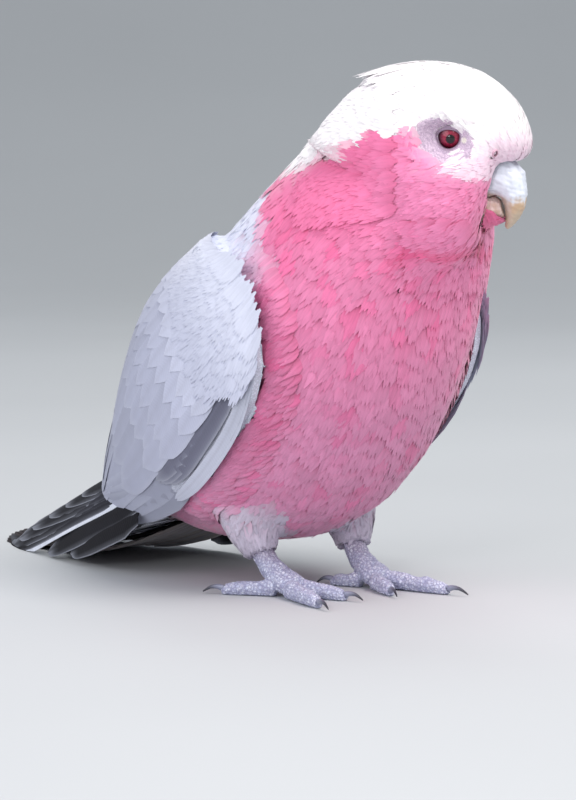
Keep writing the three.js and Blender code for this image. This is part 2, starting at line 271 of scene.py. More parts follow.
def feather_mesh(name: str, sheaf: Sheaf, soft: float = 0.75) -> bpy.types.Object:
    """Makes a piece from a sheaf.

    Args:
        name: The piece's name.
        sheaf: The piece's arrays.
        soft: How far the shading leans towards the sheaf's own directions, from 0 to 1.

    Returns:
        The new object, at the origin.
    """
    mesh = bpy.data.meshes.new(name)
    mesh.vertices.add(len(sheaf.points))
    mesh.vertices.foreach_set("co", ((sheaf.points + ORIGIN) * MM).astype(np.float32).ravel())
    corners = np.concatenate([sheaf.quads.ravel(), sheaf.triangles.ravel()]).astype(np.int32)
    sizes = np.concatenate([np.full(len(sheaf.quads), 4), np.full(len(sheaf.triangles), 3)])
    mesh.loops.add(len(corners))
    mesh.loops.foreach_set("vertex_index", corners)
    mesh.polygons.add(len(sizes))
    mesh.polygons.foreach_set("loop_start", (np.cumsum(sizes) - sizes).astype(np.int32))
    mesh.polygons.foreach_set("loop_total", sizes.astype(np.int32))
    mesh.update(calc_edges=True)
    shade_smooth(mesh)
    for layer, values in (("OFBake", sheaf.patch), ("vane", sheaf.vane)):
        if values is not None:
            uv = mesh.uv_layers.new(name=layer)
            uv.uv.foreach_set("vector", values[corners].astype(np.float32).ravel())
    store_tint(mesh, sheaf.tints)
    mesh.validate()
    if sheaf.shade is not None:
        soften(mesh, sheaf.shade, soft)
    return new_object(name, mesh)


def shade_smooth(mesh: bpy.types.Mesh) -> None:
    """Shades all of a mesh's faces smoothly."""
    mesh.polygons.foreach_set("use_smooth", np.ones(len(mesh.polygons), bool))


def above_floor(sheaf: Sheaf) -> Sheaf:
    """Lifts whatever would pass through the floor."""
    sheaf.points[:, 2] = np.maximum(sheaf.points[:, 2], FEATHER_GAP)
    return sheaf


def mirrored_pair(name: str, sheaf: Sheaf, soft: float) -> dict[Side, bpy.types.Object]:
    """Makes a piece for the right wing and its mirror image for the left.

    Args:
        name: The pieces' name, without the side.
        sheaf: The right piece's arrays.
        soft: How far the shading leans towards the sheaf's own directions, from 0 to 1.

    Returns:
        The piece of each side.
    """
    sheaf.patch = fill_map(sheaf.patch)
    both = {Side.RIGHT: sheaf, Side.LEFT: sheaf.mirrored()}
    return {side: feather_mesh(f"{name}_{side.word}", above_floor(own), soft) for side, own in both.items()}


def soften(mesh: bpy.types.Mesh, shade: Array, soft: float) -> None:
    """Shades a mesh towards given directions, but leaves faces that point elsewhere as they are.

    Args:
        mesh: The mesh.
        shade: A direction for every point.
        soft: How far the shading leans towards it, from 0 to 1.
    """
    corners, sizes = np.zeros(len(mesh.loops), np.int32), np.zeros(len(mesh.polygons), np.int32)
    mesh.loops.foreach_get("vertex_index", corners)
    mesh.polygons.foreach_get("loop_total", sizes)
    faces = np.repeat(vectors_of(mesh.polygon_normals, "vector"), sizes, axis=0)
    wanted = shade[corners]
    facing = smooth(np.sum(faces * wanted, axis=1), 0.0, 0.45)
    own = mix(faces, normals_of(mesh)[corners], facing)
    mesh.normals_split_custom_set(unit(mix(own, wanted, soft * facing)).astype(np.float32).tolist())


def store_tint(mesh: bpy.types.Mesh, tints: Array) -> None:
    """Keeps a colour for every point of a mesh under the name that the finishes read."""
    layer = mesh.color_attributes.new(name="tint", type="FLOAT_COLOR", domain="POINT")
    padded = np.concatenate([np.clip(tints, 0.0, 1.0), np.ones((len(tints), 1))], 1)
    layer.data.foreach_set("color", padded.astype(np.float32).ravel())


def vectors_of(items: bpy.types.bpy_prop_collection, name: str) -> Array:
    """Reads one vector from each of a mesh's points or faces, as floats in rows of three."""
    flat = np.zeros(3 * len(items), np.float32)
    items.foreach_get(name, flat)
    return flat.reshape(-1, 3).astype(float)


def coordinates(mesh: bpy.types.Mesh) -> Array:
    """Reads a mesh's points in millimetres, in the bird's frame."""
    return vectors_of(mesh.vertices, "co") / MM - ORIGIN


def normals_of(mesh: bpy.types.Mesh) -> Array:
    """Reads the smooth normals at a mesh's points."""
    return vectors_of(mesh.vertex_normals, "vector")


def set_coordinates(mesh: bpy.types.Mesh, points: Array) -> None:
    """Moves a mesh's points to places given in millimetres."""
    mesh.vertices.foreach_set("co", ((points + ORIGIN) * MM).astype(np.float32).ravel())
    mesh.update()


def node_copy(name: str, nodes: list[str], swell: float = 0.0) -> bpy.types.Object:
    """Copies solids of the frame into one new object, with each copy's doubles merged.

    Args:
        name: The new object's name.
        nodes: The solids to copy.
        swell: How far each copy grows on all sides, in millimetres.

    Returns:
        The new object.
    """
    whole = bmesh.new()
    for node in nodes:
        part = bmesh.new()
        part.from_mesh(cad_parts[node].data)
        bmesh.ops.remove_doubles(part, verts=part.verts, dist=2e-6)
        part.normal_update()
        for vert in part.verts:
            vert.co += vert.normal * (swell * MM)
        scratch = bpy.data.meshes.new("scratch")
        part.to_mesh(scratch)
        part.free()
        whole.from_mesh(scratch)
        bpy.data.meshes.remove(scratch)
    mesh = bpy.data.meshes.new(name)
    whole.to_mesh(mesh)
    whole.free()
    return new_object(name, mesh)


def pick(piece: bpy.types.Object) -> None:
    """Selects one object alone and makes it the active one."""
    for other in bpy.context.selected_objects:
        other.select_set(False)
    piece.select_set(True)
    bpy.context.view_layer.objects.active = piece


def modify(piece: bpy.types.Object, kind: str, **settings: object) -> None:
    """Adds a modifier with its settings and applies it.

    Args:
        piece: The object to change.
        kind: The modifier's type.
        **settings: The modifier's properties.
    """
    pick(piece)
    modifier = piece.modifiers.new(kind.lower(), kind)
    for key, value in settings.items():
        setattr(modifier, key, value)
    bpy.ops.object.modifier_apply(modifier=modifier.name)


def remesh(piece: bpy.types.Object, voxel_mm: float, rounds: int) -> None:
    """Draws a piece's shells into one even surface, and smooths it a number of rounds."""
    modify(piece, "REMESH", mode="VOXEL", voxel_size=voxel_mm * MM, adaptivity=0.0)
    modify(piece, "SMOOTH", factor=0.5, iterations=rounds)


def finish_piece(piece: bpy.types.Object, material: bpy.types.Material) -> None:
    """Gives a piece its finish and its body, and reports it.

    Args:
        piece: The piece.
        material: Its finish.
    """
    piece.data.materials.clear()
    piece.data.materials.append(material)
    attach(piece, BODY)
    piece.data.calc_loop_triangles()
    LOG.info("%s: %d triangles, %s", piece.name, len(piece.data.loop_triangles), material.name)


# ---------------------------------------------------------------- finishes


def add_node(
    tree: bpy.types.NodeTree,
    kind: str,
    sockets: dict[str | int, object] | None = None,
    **settings: object,
) -> bpy.types.Node:
    """Adds a node with its settings and its links.

    Args:
        tree: The material's or the world's tree.
        kind: The node's type.
        sockets: Input names or numbers, each with a value or with the output that feeds it.
        **settings: The node's properties.

    Returns:
        The new node.
    """
    made = tree.nodes.new(kind)
    for key, value in settings.items():
        setattr(made, key, value)
    for key, value in (sockets or {}).items():
        if isinstance(value, bpy.types.NodeSocket):
            tree.links.new(value, made.inputs[key])
        else:
            made.inputs[key].default_value = value
    return made


def set_stops(ramp: bpy.types.ColorRamp, stops: tuple[tuple[float, str], ...]) -> None:
    """Sets a ramp's stops, each a place from 0 to 1 with an sRGB colour."""
    while len(ramp.elements) < len(stops):
        ramp.elements.new(0.5)
    for element, (place, code) in zip(ramp.elements, stops):
        element.position = place
        element.color = (*linear(code), 1.0)


def new_material(name: str) -> tuple[bpy.types.Material, bpy.types.NodeTree]:
    """Makes an empty node material, and gives it and its tree."""
    material = bpy.data.materials.new(name)
    material.use_nodes = True
    material.node_tree.nodes.clear()
    return material, material.node_tree


def end_material(tree: bpy.types.NodeTree, sockets: dict[str, object]) -> None:
    """Ends a tree with a principled surface, whose inputs are values or the outputs that feed them."""
    surface = add_node(tree, "ShaderNodeBsdfPrincipled", sockets)
    add_node(tree, "ShaderNodeOutputMaterial", {"Surface": surface.outputs[0]})


def end_tinted(
    tree: bpy.types.NodeTree,
    level: bpy.types.NodeSocket,
    relief: tuple[bpy.types.NodeSocket, float, float] | None,
    sockets: dict[str, object],
) -> None:
    """Ends a tree with a principled surface in the stored tint.

    Args:
        tree: The material's tree.
        level: The pattern that the tint is multiplied by.
        relief: A fine relief's pattern, its strength and its depth in metres, or None for no relief.
        sockets: The surface's other inputs.
    """
    own = add_node(tree, "ShaderNodeAttribute", attribute_name="tint")
    parts = {0: own.outputs["Color"], 1: level}
    looks = {"Base Color": add_node(tree, "ShaderNodeVectorMath", parts, operation="MULTIPLY").outputs[0]}
    if relief is not None:
        bump = dict(zip(("Height", "Strength", "Distance"), relief))
        looks["Normal"] = add_node(tree, "ShaderNodeBump", bump).outputs[0]
    end_material(tree, {**looks, **sockets})


@dataclass(frozen=True)
class CoatFinish:
    """Feather keratin in loose barbs: quite matt, with a soft sheen where the barbs stand on edge."""

    name: str
    streak: float = 0.16  # how much fine barbs lighten and darken the tint
    barb_mm: float = 0.45  # real barb spacing, drawn at about its true size
    drawn_out: float = 0.09  # how fine the pattern is along the barbs, as a share of that across them
    bump: float = 0.25
    sheen: float = 0.25
    roughness: float = 0.82

    def material(self) -> bpy.types.Material:
        """Builds the material: the stored tint, broken up by barbs along each lock."""
        made, tree = new_material(self.name)
        place = add_node(tree, "ShaderNodeUVMap", uv_map="vane")
        # The vane map is in centimetres, so its barbs are this many to a unit across.
        across = 10.0 / self.barb_mm
        drawn = {0: place.outputs[0], "Scale": (across, across * self.drawn_out, 1.0)}
        spread = add_node(tree, "ShaderNodeMapping", drawn)
        fine = {"Vector": spread.outputs[0], "Scale": 0.5, "Detail": 3.0}
        barbs = add_node(tree, "ShaderNodeTexNoise", fine)
        span = {0: barbs.outputs[0], 1: 0.3, 2: 0.7, 3: 1.0 - self.streak, 4: 1.0 + self.streak}
        level = add_node(tree, "ShaderNodeMapRange", span)
        sheen = {"Sheen Weight": self.sheen, "Sheen Roughness": 0.5}
        constants = {"Roughness": self.roughness, "Specular IOR Level": 0.25, **sheen}
        end_tinted(tree, level.outputs[0], (barbs.outputs[0], self.bump, 0.0002), constants)
        return made


@dataclass(frozen=True)
class QuillFinish:
    """A stiff vane: barbs hooked side by side in a flat web, a little satin along them."""

    name: str
    barb_mm: float = 0.6  # true spacing is about 0.5 mm
    barb_turn: float = math.radians(62)  # how far the barbs slant from the line across the vane
    line: float = 0.04
    bump: float = 0.12
    roughness: float = 0.6
    gloss: float = 0.35
    sheen: float = 0.12

    def material(self) -> bpy.types.Material:
        """Builds the material: the stored tint, with barbs slanting out from the shaft."""
        made, tree = new_material(self.name)
        place = add_node(tree, "ShaderNodeUVMap", uv_map="vane")
        split = add_node(tree, "ShaderNodeSeparateXYZ", {0: place.outputs[0]})
        away = add_node(tree, "ShaderNodeMath", {0: split.outputs[0]}, operation="ABSOLUTE")
        web = add_node(tree, "ShaderNodeCombineXYZ", {0: away.outputs[0], 1: split.outputs[1]})
        turned = add_node(
            tree, "ShaderNodeMapping", {0: web.outputs[0], "Rotation": (0.0, 0.0, self.barb_turn)}
        ).outputs[0]
        # One band to each barb, in centimetres of the vane map.
        bands = {"Scale": 10.0 / self.barb_mm / WAVE_BANDS, "Distortion": 1.2, "Detail": 2.0}
        bands["Vector"] = turned
        barbs = add_node(tree, "ShaderNodeTexWave", bands, bands_direction="X").outputs["Fac"]
        cloud = add_node(tree, "ShaderNodeTexNoise", {"Vector": turned, "Scale": 3.0, "Detail": 3.0})
        sums = {0: barbs, 1: 0.5, 2: cloud.outputs[0]}
        both = add_node(tree, "ShaderNodeMath", sums, operation="MULTIPLY_ADD")
        span = {0: both.outputs[0], 1: 0.3, 2: 1.2, 3: 1.0 - self.line, 4: 1.0 + self.line}
        level = add_node(tree, "ShaderNodeMapRange", span)
        sheen = {"Sheen Weight": self.sheen, "Sheen Roughness": 0.4}
        constants = {"Roughness": self.roughness, "Specular IOR Level": self.gloss, **sheen}
        end_tinted(tree, level.outputs[0], (barbs, self.bump, 0.0001), constants)
        return made


@dataclass(frozen=True)
class SkinFinish:
    """Living skin, thin and dry, creased finely, with its tint stored by place."""

    name: str
    crease_mm: float = 0.8
    bump: float = 0.5
    roughness: float = 0.6

    def material(self) -> bpy.types.Material:
        """Builds the material: the stored tint over fine creases."""
        made, tree = new_material(self.name)
        place = add_node(tree, "ShaderNodeTexCoord")
        creases = {"Vector": place.outputs["Object"], "Scale": 1.0 / (self.crease_mm * MM)}
        cells = add_node(tree, "ShaderNodeTexVoronoi", creases, feature="DISTANCE_TO_EDGE")
        level = add_node(tree, "ShaderNodeMapRange", {0: cells.outputs[0], 1: 0.0, 2: 0.25, 3: 0.78, 4: 1.05})
        constants = {"Roughness": self.roughness, "Specular IOR Level": 0.35}
        end_tinted(tree, level.outputs[0], (level.outputs[0], self.bump, 0.0003), constants)
        return made


@dataclass(frozen=True)
class ScaleFinish:
    """Foot skin: small rounded horny scales with dusty pale tops and darker seams between them."""

    name: str
    scale_mm: float = 1.15
    seam: str = "#c2bdcb"
    top: str = "#ffffff"

    def material(self) -> bpy.types.Material:
        """Builds the material: grains, seams and dusty blotches."""
        made, tree = new_material(self.name)
        place = add_node(tree, "ShaderNodeTexCoord").outputs["Object"]
        scales = {"Vector": place, "Scale": 1.0 / (self.scale_mm * MM), "Randomness": 0.75}
        edge = add_node(tree, "ShaderNodeTexVoronoi", scales, feature="DISTANCE_TO_EDGE")
        dust = add_node(tree, "ShaderNodeTexNoise", {"Vector": place, "Scale": 450.0, "Detail": 4.0})
        raised = add_node(tree, "ShaderNodeMapRange", {0: edge.outputs[0], 1: 0.0, 2: 0.22, 3: 0.0, 4: 1.0})
        parts = {0: raised.outputs[0], 1: dust.outputs[0]}
        chalk = add_node(tree, "ShaderNodeMath", parts, operation="MULTIPLY")
        shade = add_node(tree, "ShaderNodeValToRGB", {0: chalk.outputs[0]})
        set_stops(shade.color_ramp, ((0.0, self.seam), (0.3, "#dcdae2"), (0.7, self.top)))
        constants = {"Roughness": 0.62, "Specular IOR Level": 0.35}
        end_tinted(tree, shade.outputs[0], (raised.outputs[0], 0.6, 0.00025), constants)
        return made


@dataclass(frozen=True)
class HornFinish:
    """Bill or claw horn: keratin in thin growth layers, satin where it is rubbed."""

    name: str
    layer_mm: float = 1.4
    streak: float = 0.06
    roughness: float = 0.36

    def material(self) -> bpy.types.Material:
        """Builds the material: the stored tint with growth layers and fine lengthwise streaks."""
        made, tree = new_material(self.name)
        place = add_node(tree, "ShaderNodeTexCoord").outputs["Object"]
        bands = {"Scale": 1.0 / (self.layer_mm * MM) / WAVE_BANDS, "Distortion": 4.0, "Detail": 3.0}
        bands |= {"Vector": place, "Detail Scale": 2.0}
        layers = add_node(tree, "ShaderNodeTexWave", bands, bands_direction="Z").outputs["Fac"]
        fine = {"Vector": place, "Scale": 900.0, "Detail": 4.0}
        flakes = add_node(tree, "ShaderNodeTexNoise", fine).outputs[0]
        sums = {0: layers, 1: 0.6, 2: flakes}
        both = add_node(tree, "ShaderNodeMath", sums, operation="MULTIPLY_ADD").outputs[0]
        span = {0: both, 1: 0.3, 2: 1.3, 3: 1.0 - self.streak, 4: 1.0 + self.streak}
        level = add_node(tree, "ShaderNodeMapRange", span)
        gloss = {0: flakes, 1: 0.3, 2: 0.7, 3: self.roughness - 0.07, 4: self.roughness + 0.15}
        shine = add_node(tree, "ShaderNodeMapRange", gloss)
        coat = {"IOR": 1.54, "Coat Weight": 0.15, "Coat Roughness": 0.25}
        end_tinted(tree, level.outputs[0], (both, 0.18, 0.0002), {"Roughness": shine.outputs[0], **coat})
        return made


@dataclass(frozen=True)
class EyeFinish:
    """A wet eye: crimson iris with fine fibres round a black pupil, under a clear glossy cornea."""

    name: str

    def material(self) -> bpy.types.Material:
        """Builds the material: the stored tint with iris fibres under a clear coat."""
        made, tree = new_material(self.name)
        place = add_node(tree, "ShaderNodeTexCoord").outputs["Object"]
        fibre = add_node(tree, "ShaderNodeTexNoise", {"Vector": place, "Scale": 1800.0, "Detail": 3.0})
        level = add_node(tree, "ShaderNodeMapRange", {0: fibre.outputs[0], 1: 0.3, 2: 0.7, 3: 0.75, 4: 1.25})
        coat = {"Coat Weight": 1.0, "Coat IOR": 1.5, "Coat Roughness": 0.03}
        end_tinted(tree, level.outputs[0], None, {"Roughness": 0.2, "Specular IOR Level": 0.1, **coat})
        return made


# ---------------------------------------------------------------- ground and paths


@dataclass
class Path:
    """The lines that feathers follow over the body, one to a row, from root to tip.

    points and normals hold a few stations to a line, and lengths the lines' lengths in millimetres.
    """

    points: Array
    normals: Array
    lengths: Array

    def __post_init__(self) -> None:
        """Works out a frame at every station."""
        self.ahead = unit(np.gradient(self.points, axis=1))
        self.up = flatten(self.normals, self.ahead)
        self.right = np.cross(self.ahead, self.up)

    def only(self, kept: Array | slice) -> "Path":
        """Some of the lines."""
        return Path(self.points[kept], self.normals[kept], self.lengths[kept])

    def place(
        self, row: Array, along: Array, across: Array, above: Array, radius: float
    ) -> tuple[Array, Array]:
        """Finds points beside and above the lines, and the ground's normals there.

        Args:
            row: Which line each point belongs to.
            along: How far along it, as a share of its length.
            across: How far to its right, in millimetres.
            above: How far over the ground, in millimetres.
            radius: How round the ground is across the line, in millimetres.

        Returns:
            The points in millimetres, and the normals.
        """
        last = self.points.shape[1] - 1
        inside = np.clip(along, 0.0, 1.0)
        step = np.minimum((inside * last).astype(int), last - 1)
        w = (inside * last - step)[..., None]
        at, ahead, up, right = (
            values[row, step] * (1 - w) + values[row, step + 1] * w
            for values in (self.points, self.ahead, self.up, self.right)
        )
        beyond = ((along - inside) * self.lengths[row])[..., None]
        drop = (above - across**2 / (2 * radius))[..., None]
        points = at + ahead * beyond + right * across[..., None] + up * drop
        return points, unit(up + right * (0.3 * across / radius)[..., None])


class Ground:
    """A surface that feathers grow on and run along."""

    def __init__(self, points: Array, faces: list[list[int]], normals: Array) -> None:
        """Args:
            points: Its points in millimetres.
            faces: Its faces, as lists of point numbers.
            normals: The smooth normals at its points.
        """
        self.points = points
        self.tree = BVHTree.FromPolygons(points.tolist(), faces)
        self.face_normals = unit(np.array([normals[face].mean(0) for face in faces]))
        corners = [(f[0], f[k], f[k + 1]) for f in faces for k in range(1, len(f) - 1)]
        self.corners = np.array(corners)

    @classmethod
    def of_piece(cls, piece: bpy.types.Object) -> "Ground":
        """Makes a ground from an object's mesh."""
        faces = [list(face.vertices) for face in piece.data.polygons]
        return cls(coordinates(piece.data), faces, normals_of(piece.data))

    @classmethod
    def of_form(cls, piece: bpy.types.Object) -> "Ground":
        """Makes a ground from an object that was made only for its shape, and removes the object."""
        ground = cls.of_piece(piece)
        bpy.data.objects.remove(piece)
        return ground

    @classmethod
    def of_grid(cls, grid: Array) -> "Ground":
        """Makes a ground from rows of points whose rows run ahead and whose columns run to the right.

        Args:
            grid: The points in millimetres, by row and column.

        Returns:
            The ground.
        """
        rows, columns = grid.shape[:2]
        number = np.arange(rows * columns).reshape(rows, columns)
        corners = np.stack([number[:-1, :-1], number[:-1, 1:], number[1:, 1:], number[1:, :-1]], -1)
        ahead, right = np.gradient(grid, axis=0), np.gradient(grid, axis=1)
        up = unit(np.cross(right, ahead)).reshape(-1, 3)
        return cls(grid.reshape(-1, 3), corners.reshape(-1, 4).tolist(), up)

    def nearest(self, points: Array) -> tuple[Array, Array]:
        """Finds the nearest places on the surface and their normals."""
        places, numbers = np.empty_like(points), np.empty(len(points), int)
        for i, point in enumerate(points):
            place, _, number, _ = self.tree.find_nearest(Vector(point))
            places[i] = place
            numbers[i] = number
        return places, self.face_normals[numbers]

    def distance(self, points: Array) -> Array:
        """Gives how far points are from the surface."""
        return np.array([self.tree.find_nearest(Vector(point))[3] for point in points])

    def covered(self, points: Array, normals: Array, reach: float) -> Array:
        """Says which points have the surface within reach straight above them."""
        hits = (self.tree.ray_cast(Vector(p), Vector(n), reach) for p, n in zip(points, normals))
        return np.array([hit[0] is not None for hit in hits], bool)

    def walk(self, roots: Array, headings: Array, lengths: Array, steps: int = 4, leave: int = 99) -> Path:
        """Runs lines over the surface.

        Args:
            roots: Where the lines start.
            headings: Which way they set off.
            lengths: How long they are, in millimetres.
            steps: How many steps each takes.
            leave: After how many steps they leave the surface and run straight on.

        Returns:
            The lines.
        """
        points, normals = self.nearest(roots)
        heading = flatten(headings, normals)
        places, ups = [points], [normals]
        for step in range(steps):
            ahead = points + heading * (lengths / steps)[:, None]
            if step < leave:
                ahead, normals = self.nearest(ahead)
                heading = flatten(heading + unit(ahead - points), normals)
            points = ahead
            places.append(points)
            ups.append(normals)
        return Path(np.stack(places, 1), np.stack(ups, 1), lengths)

    def scatter(
        self, spacing: Callable[[Array], Array], wanted: Callable[[Array, Array], Array], seed: int
    ) -> tuple[Array, Array]:
        """Spreads roots evenly over the surface.

        Args:
            spacing: Gives the distance between roots at points, in millimetres.
            wanted: Says which points, with their normals, may hold a root.
            seed: Picks one of the many ways to spread them.

        Returns:
            The roots and their normals.
        """
        rng = np.random.default_rng(seed)
        a, b, c = (self.points[self.corners[:, k]] for k in range(3))
        cross = np.cross(b - a, c - a)
        area = np.linalg.norm(cross, axis=1) / 2
        middle = (a + b + c) / 3
        weight = np.where(wanted(middle, unit(cross)), area / spacing(middle) ** 2, 0.0)
        count = int(3.4 * weight.sum())
        chosen = rng.choice(len(area), count, p=weight / weight.sum())
        u, v = rng.random((2, count, 1))
        over = u + v > 1
        u, v = np.where(over, 1 - u, u), np.where(over, 1 - v, v)
        points = a[chosen] + u * (b - a)[chosen] + v * (c - a)[chosen]
        gaps = 0.84 * spacing(points)
        tree = KDTree(count)
        for i, point in enumerate(points):
            tree.insert(point, i)
        tree.balance()
        free, kept = np.ones(count, bool), []
        for i in range(count):
            if free[i]:
                kept.append(i)
                for _, other, _ in tree.find_range(Vector(points[i]), gaps[i]):
                    free[other] = False
        return self.nearest(points[kept])


# ---------------------------------------------------------------- feathers


@dataclass(frozen=True)
class TuftStyle:
    """How one loose body feather looks: a fan of thin locks of barbs."""

    locks: int = 7
    stations: int = 4
    fan: float = 0.86  # how far the outer locks spread, of half the width
    round: float = 0.26  # how much shorter the outer locks are
    ragged: float = 0.05
    lock_mm: float = 0.06  # thickness of a lock
    fat: float = 2.3  # a lock's width over its share of the feather
    # root darkens the hidden base: painted shade under the feathers that lie over it
    root: float = 0.95  # how dark the hidden base is
    tip: float = 1.03
    deep: str = "#e0527f"  # the base's colour is drawn towards this
    deep_share: float = 0.28
    vary: float = 0.03


def grow_tufts(
    path: Path,
    widths: Array | float,
    tints: Array,
    patch: Array,
    style: TuftStyle,
    depth: Array | float,
    lift: Array | float,
    seed: int,
) -> Sheaf:
    """Grows a loose feather along every line.

    Args:
        path: The lines.
        widths: The feathers' widths in millimetres, or one for all, as depth and lift may be.
        tints: Their colours at the tip.
        patch: Their roots' places on the bake map.
        style: How they look.
        depth: How far under the ground their roots are.
        lift: How far over the ground their tips stand.
        seed: Sets their small differences.

    Returns:
        The arrays of all the feathers.
    """
    rng = np.random.default_rng(seed)
    n, m, s = len(path.lengths), style.locks, style.stations
    widths, depth, lift = (np.broadcast_to(value, n) for value in (widths, depth, lift))
    tints = np.broadcast_to(tints, (n, 3))
    off = np.linspace(-1, 1, m) + rng.normal(0, 0.32 / m, (n, m))
    reach = 1 - style.round * off**2 + rng.normal(0, style.ragged, (n, m))
    start = 0.22 * np.abs(off)
    step = np.linspace(0, 1, s)
    along = start[..., None] + (reach - start)[..., None] * step
    sway = rng.normal(0, 0.07, (n, m, 1)) * step**2
    open_up = 0.3 + 0.7 * np.sqrt(np.clip(along, 0, 1))
    middle = (off[..., None] * style.fan * open_up + sway) * widths[:, None, None] / 2
    outline = np.interp(step, [0, 0.3, 0.6, 0.85, 1], [0.55, 0.95, 1.0, 0.72, 0.14])
    half = style.fat * widths[:, None] / (2 * m) * rng.uniform(0.8, 1.2, (n, m))
    half = half[..., None] * outline
    thick = style.lock_mm * (0.35 + 0.65 * outline)
    jitter = rng.uniform(-1, 1, (n, m, 1)) * 0.12
    curl = rng.uniform(-0.2, 1, (n, m, 1)) * 0.25 * step**3
    climb = np.clip(1 - along, 0, 1) ** 2.6
    above = -depth[:, None, None] * climb + lift[:, None, None] * along**2
    above = above + 0.5 * jitter * (0.3 + step) + curl * lift[:, None, None] - 0.1 * off[..., None] ** 2
    across = np.stack([middle - half, middle, middle + half], -1)
    height = np.stack([above, above + thick, above], -1)
    row = np.broadcast_to(np.arange(n)[:, None, None, None], across.shape)
    run = np.broadcast_to(along[..., None], across.shape)
    points, shade = path.place(row, run, across, height, 28.0)

    fade = smooth(along, 0.15, 0.85)[..., None]
    # The base takes the deeper base colour, and style.root darkens it as painted shade under the feathers
    # over it.
    deep = mix(tints, tint(style.deep), np.full(n, style.deep_share)) * style.root
    ends = tints * style.tip
    own = deep[:, None, None, None] * (1 - fade[..., None]) + ends[:, None, None, None] * fade[..., None]
    lighter = 1 + style.vary * rng.normal(0, 1, (n, m, 1, 1, 1))
    lighter = lighter + style.vary * rng.normal(0, 1, (n, 1, 1, 1, 1))
    own = np.broadcast_to(own * lighter, (n, m, s, 3, 3))

    local = np.stack([across / widths[:, None, None, None], run], -1)
    local[..., 1, 1] += 0.04
    centimetres = np.stack([across, run * path.lengths[:, None, None, None]], -1) / 10
    base = (np.arange(n * m) * (3 * s))[:, None, None]
    quad, end = [], 3 * (s - 1)
    for k in range(s - 1):
        left, ridge, right = 3 * k, 3 * k + 1, 3 * k + 2
        quad += [
            (left, ridge, ridge + 3, left + 3),
            (ridge, right, right + 3, ridge + 3),
            (right, left, left + 3, right + 3),
        ]
    caps = [(0, 2, 1), (end + 2, end, end + 1)]
    return Sheaf(
        points.reshape(-1, 3),
        (base + np.array(quad)[None]).reshape(-1, 4),
        (base + np.array(caps)[None]).reshape(-1, 3),
        own.reshape(-1, 3),
        centimetres.reshape(-1, 2),
        (patch[:, None, None, None] + PATCH * (local - np.array([0.0, 0.5]))).reshape(-1, 2),
        shade.reshape(-1, 3),
    )


@dataclass(frozen=True)
class VaneStyle:
    """How one firm feather looks: a web on both sides of a shaft, closed all round."""

    columns: tuple[float, ...] = (-1.0, -0.7, -0.35, -0.05, 0.05, 0.35, 0.7, 1.0)
    rows: int = 9
    narrow: float = 0.35  # width at the root over the full width
    belly: float = 0.45  # where the full width is reached
    taper: float = 0.72  # where the tip begins
    point: float = 0.1  # width at the very tip
    bow: float = 0.16  # how far the tip's edges hang back, over the width
    thick_mm: float = 0.22
    camber_mm: float = 0.25  # how much the middle stands over the edges
    tilt_mm: float = 0.3  # the left edge up and the right one down, so that neighbours overlap
    shaft_mm: float = 0.16
    frayed: float = 0.04
    edge: str = "#dcdde8"  # the paler margin
    edge_share: float = 0.45
    edge_side: float = 0.0  # -1 or 1 keeps the margin to one side
    edge_power: float = 4.0  # high for a narrow margin
    shaft_tint: str = "#8d8b99"
    shaft_share: float = 0.6
    # root darkens the covered root end of the vane: painted shade under the row over it
    root: float = 0.8
    # strip and strip_tint paint a pale band along one web; on the primaries it is painted near white as glare
    # along the web
    strip: float = 0.0  # share of one web that takes the strip colour
    strip_tint: str = "#aeb4c6"
    end_share: float = 0.0  # how far the colour moves to the end colour at the tip
    end_tint: str = "#2b2a31"
    vary: float = 0.03


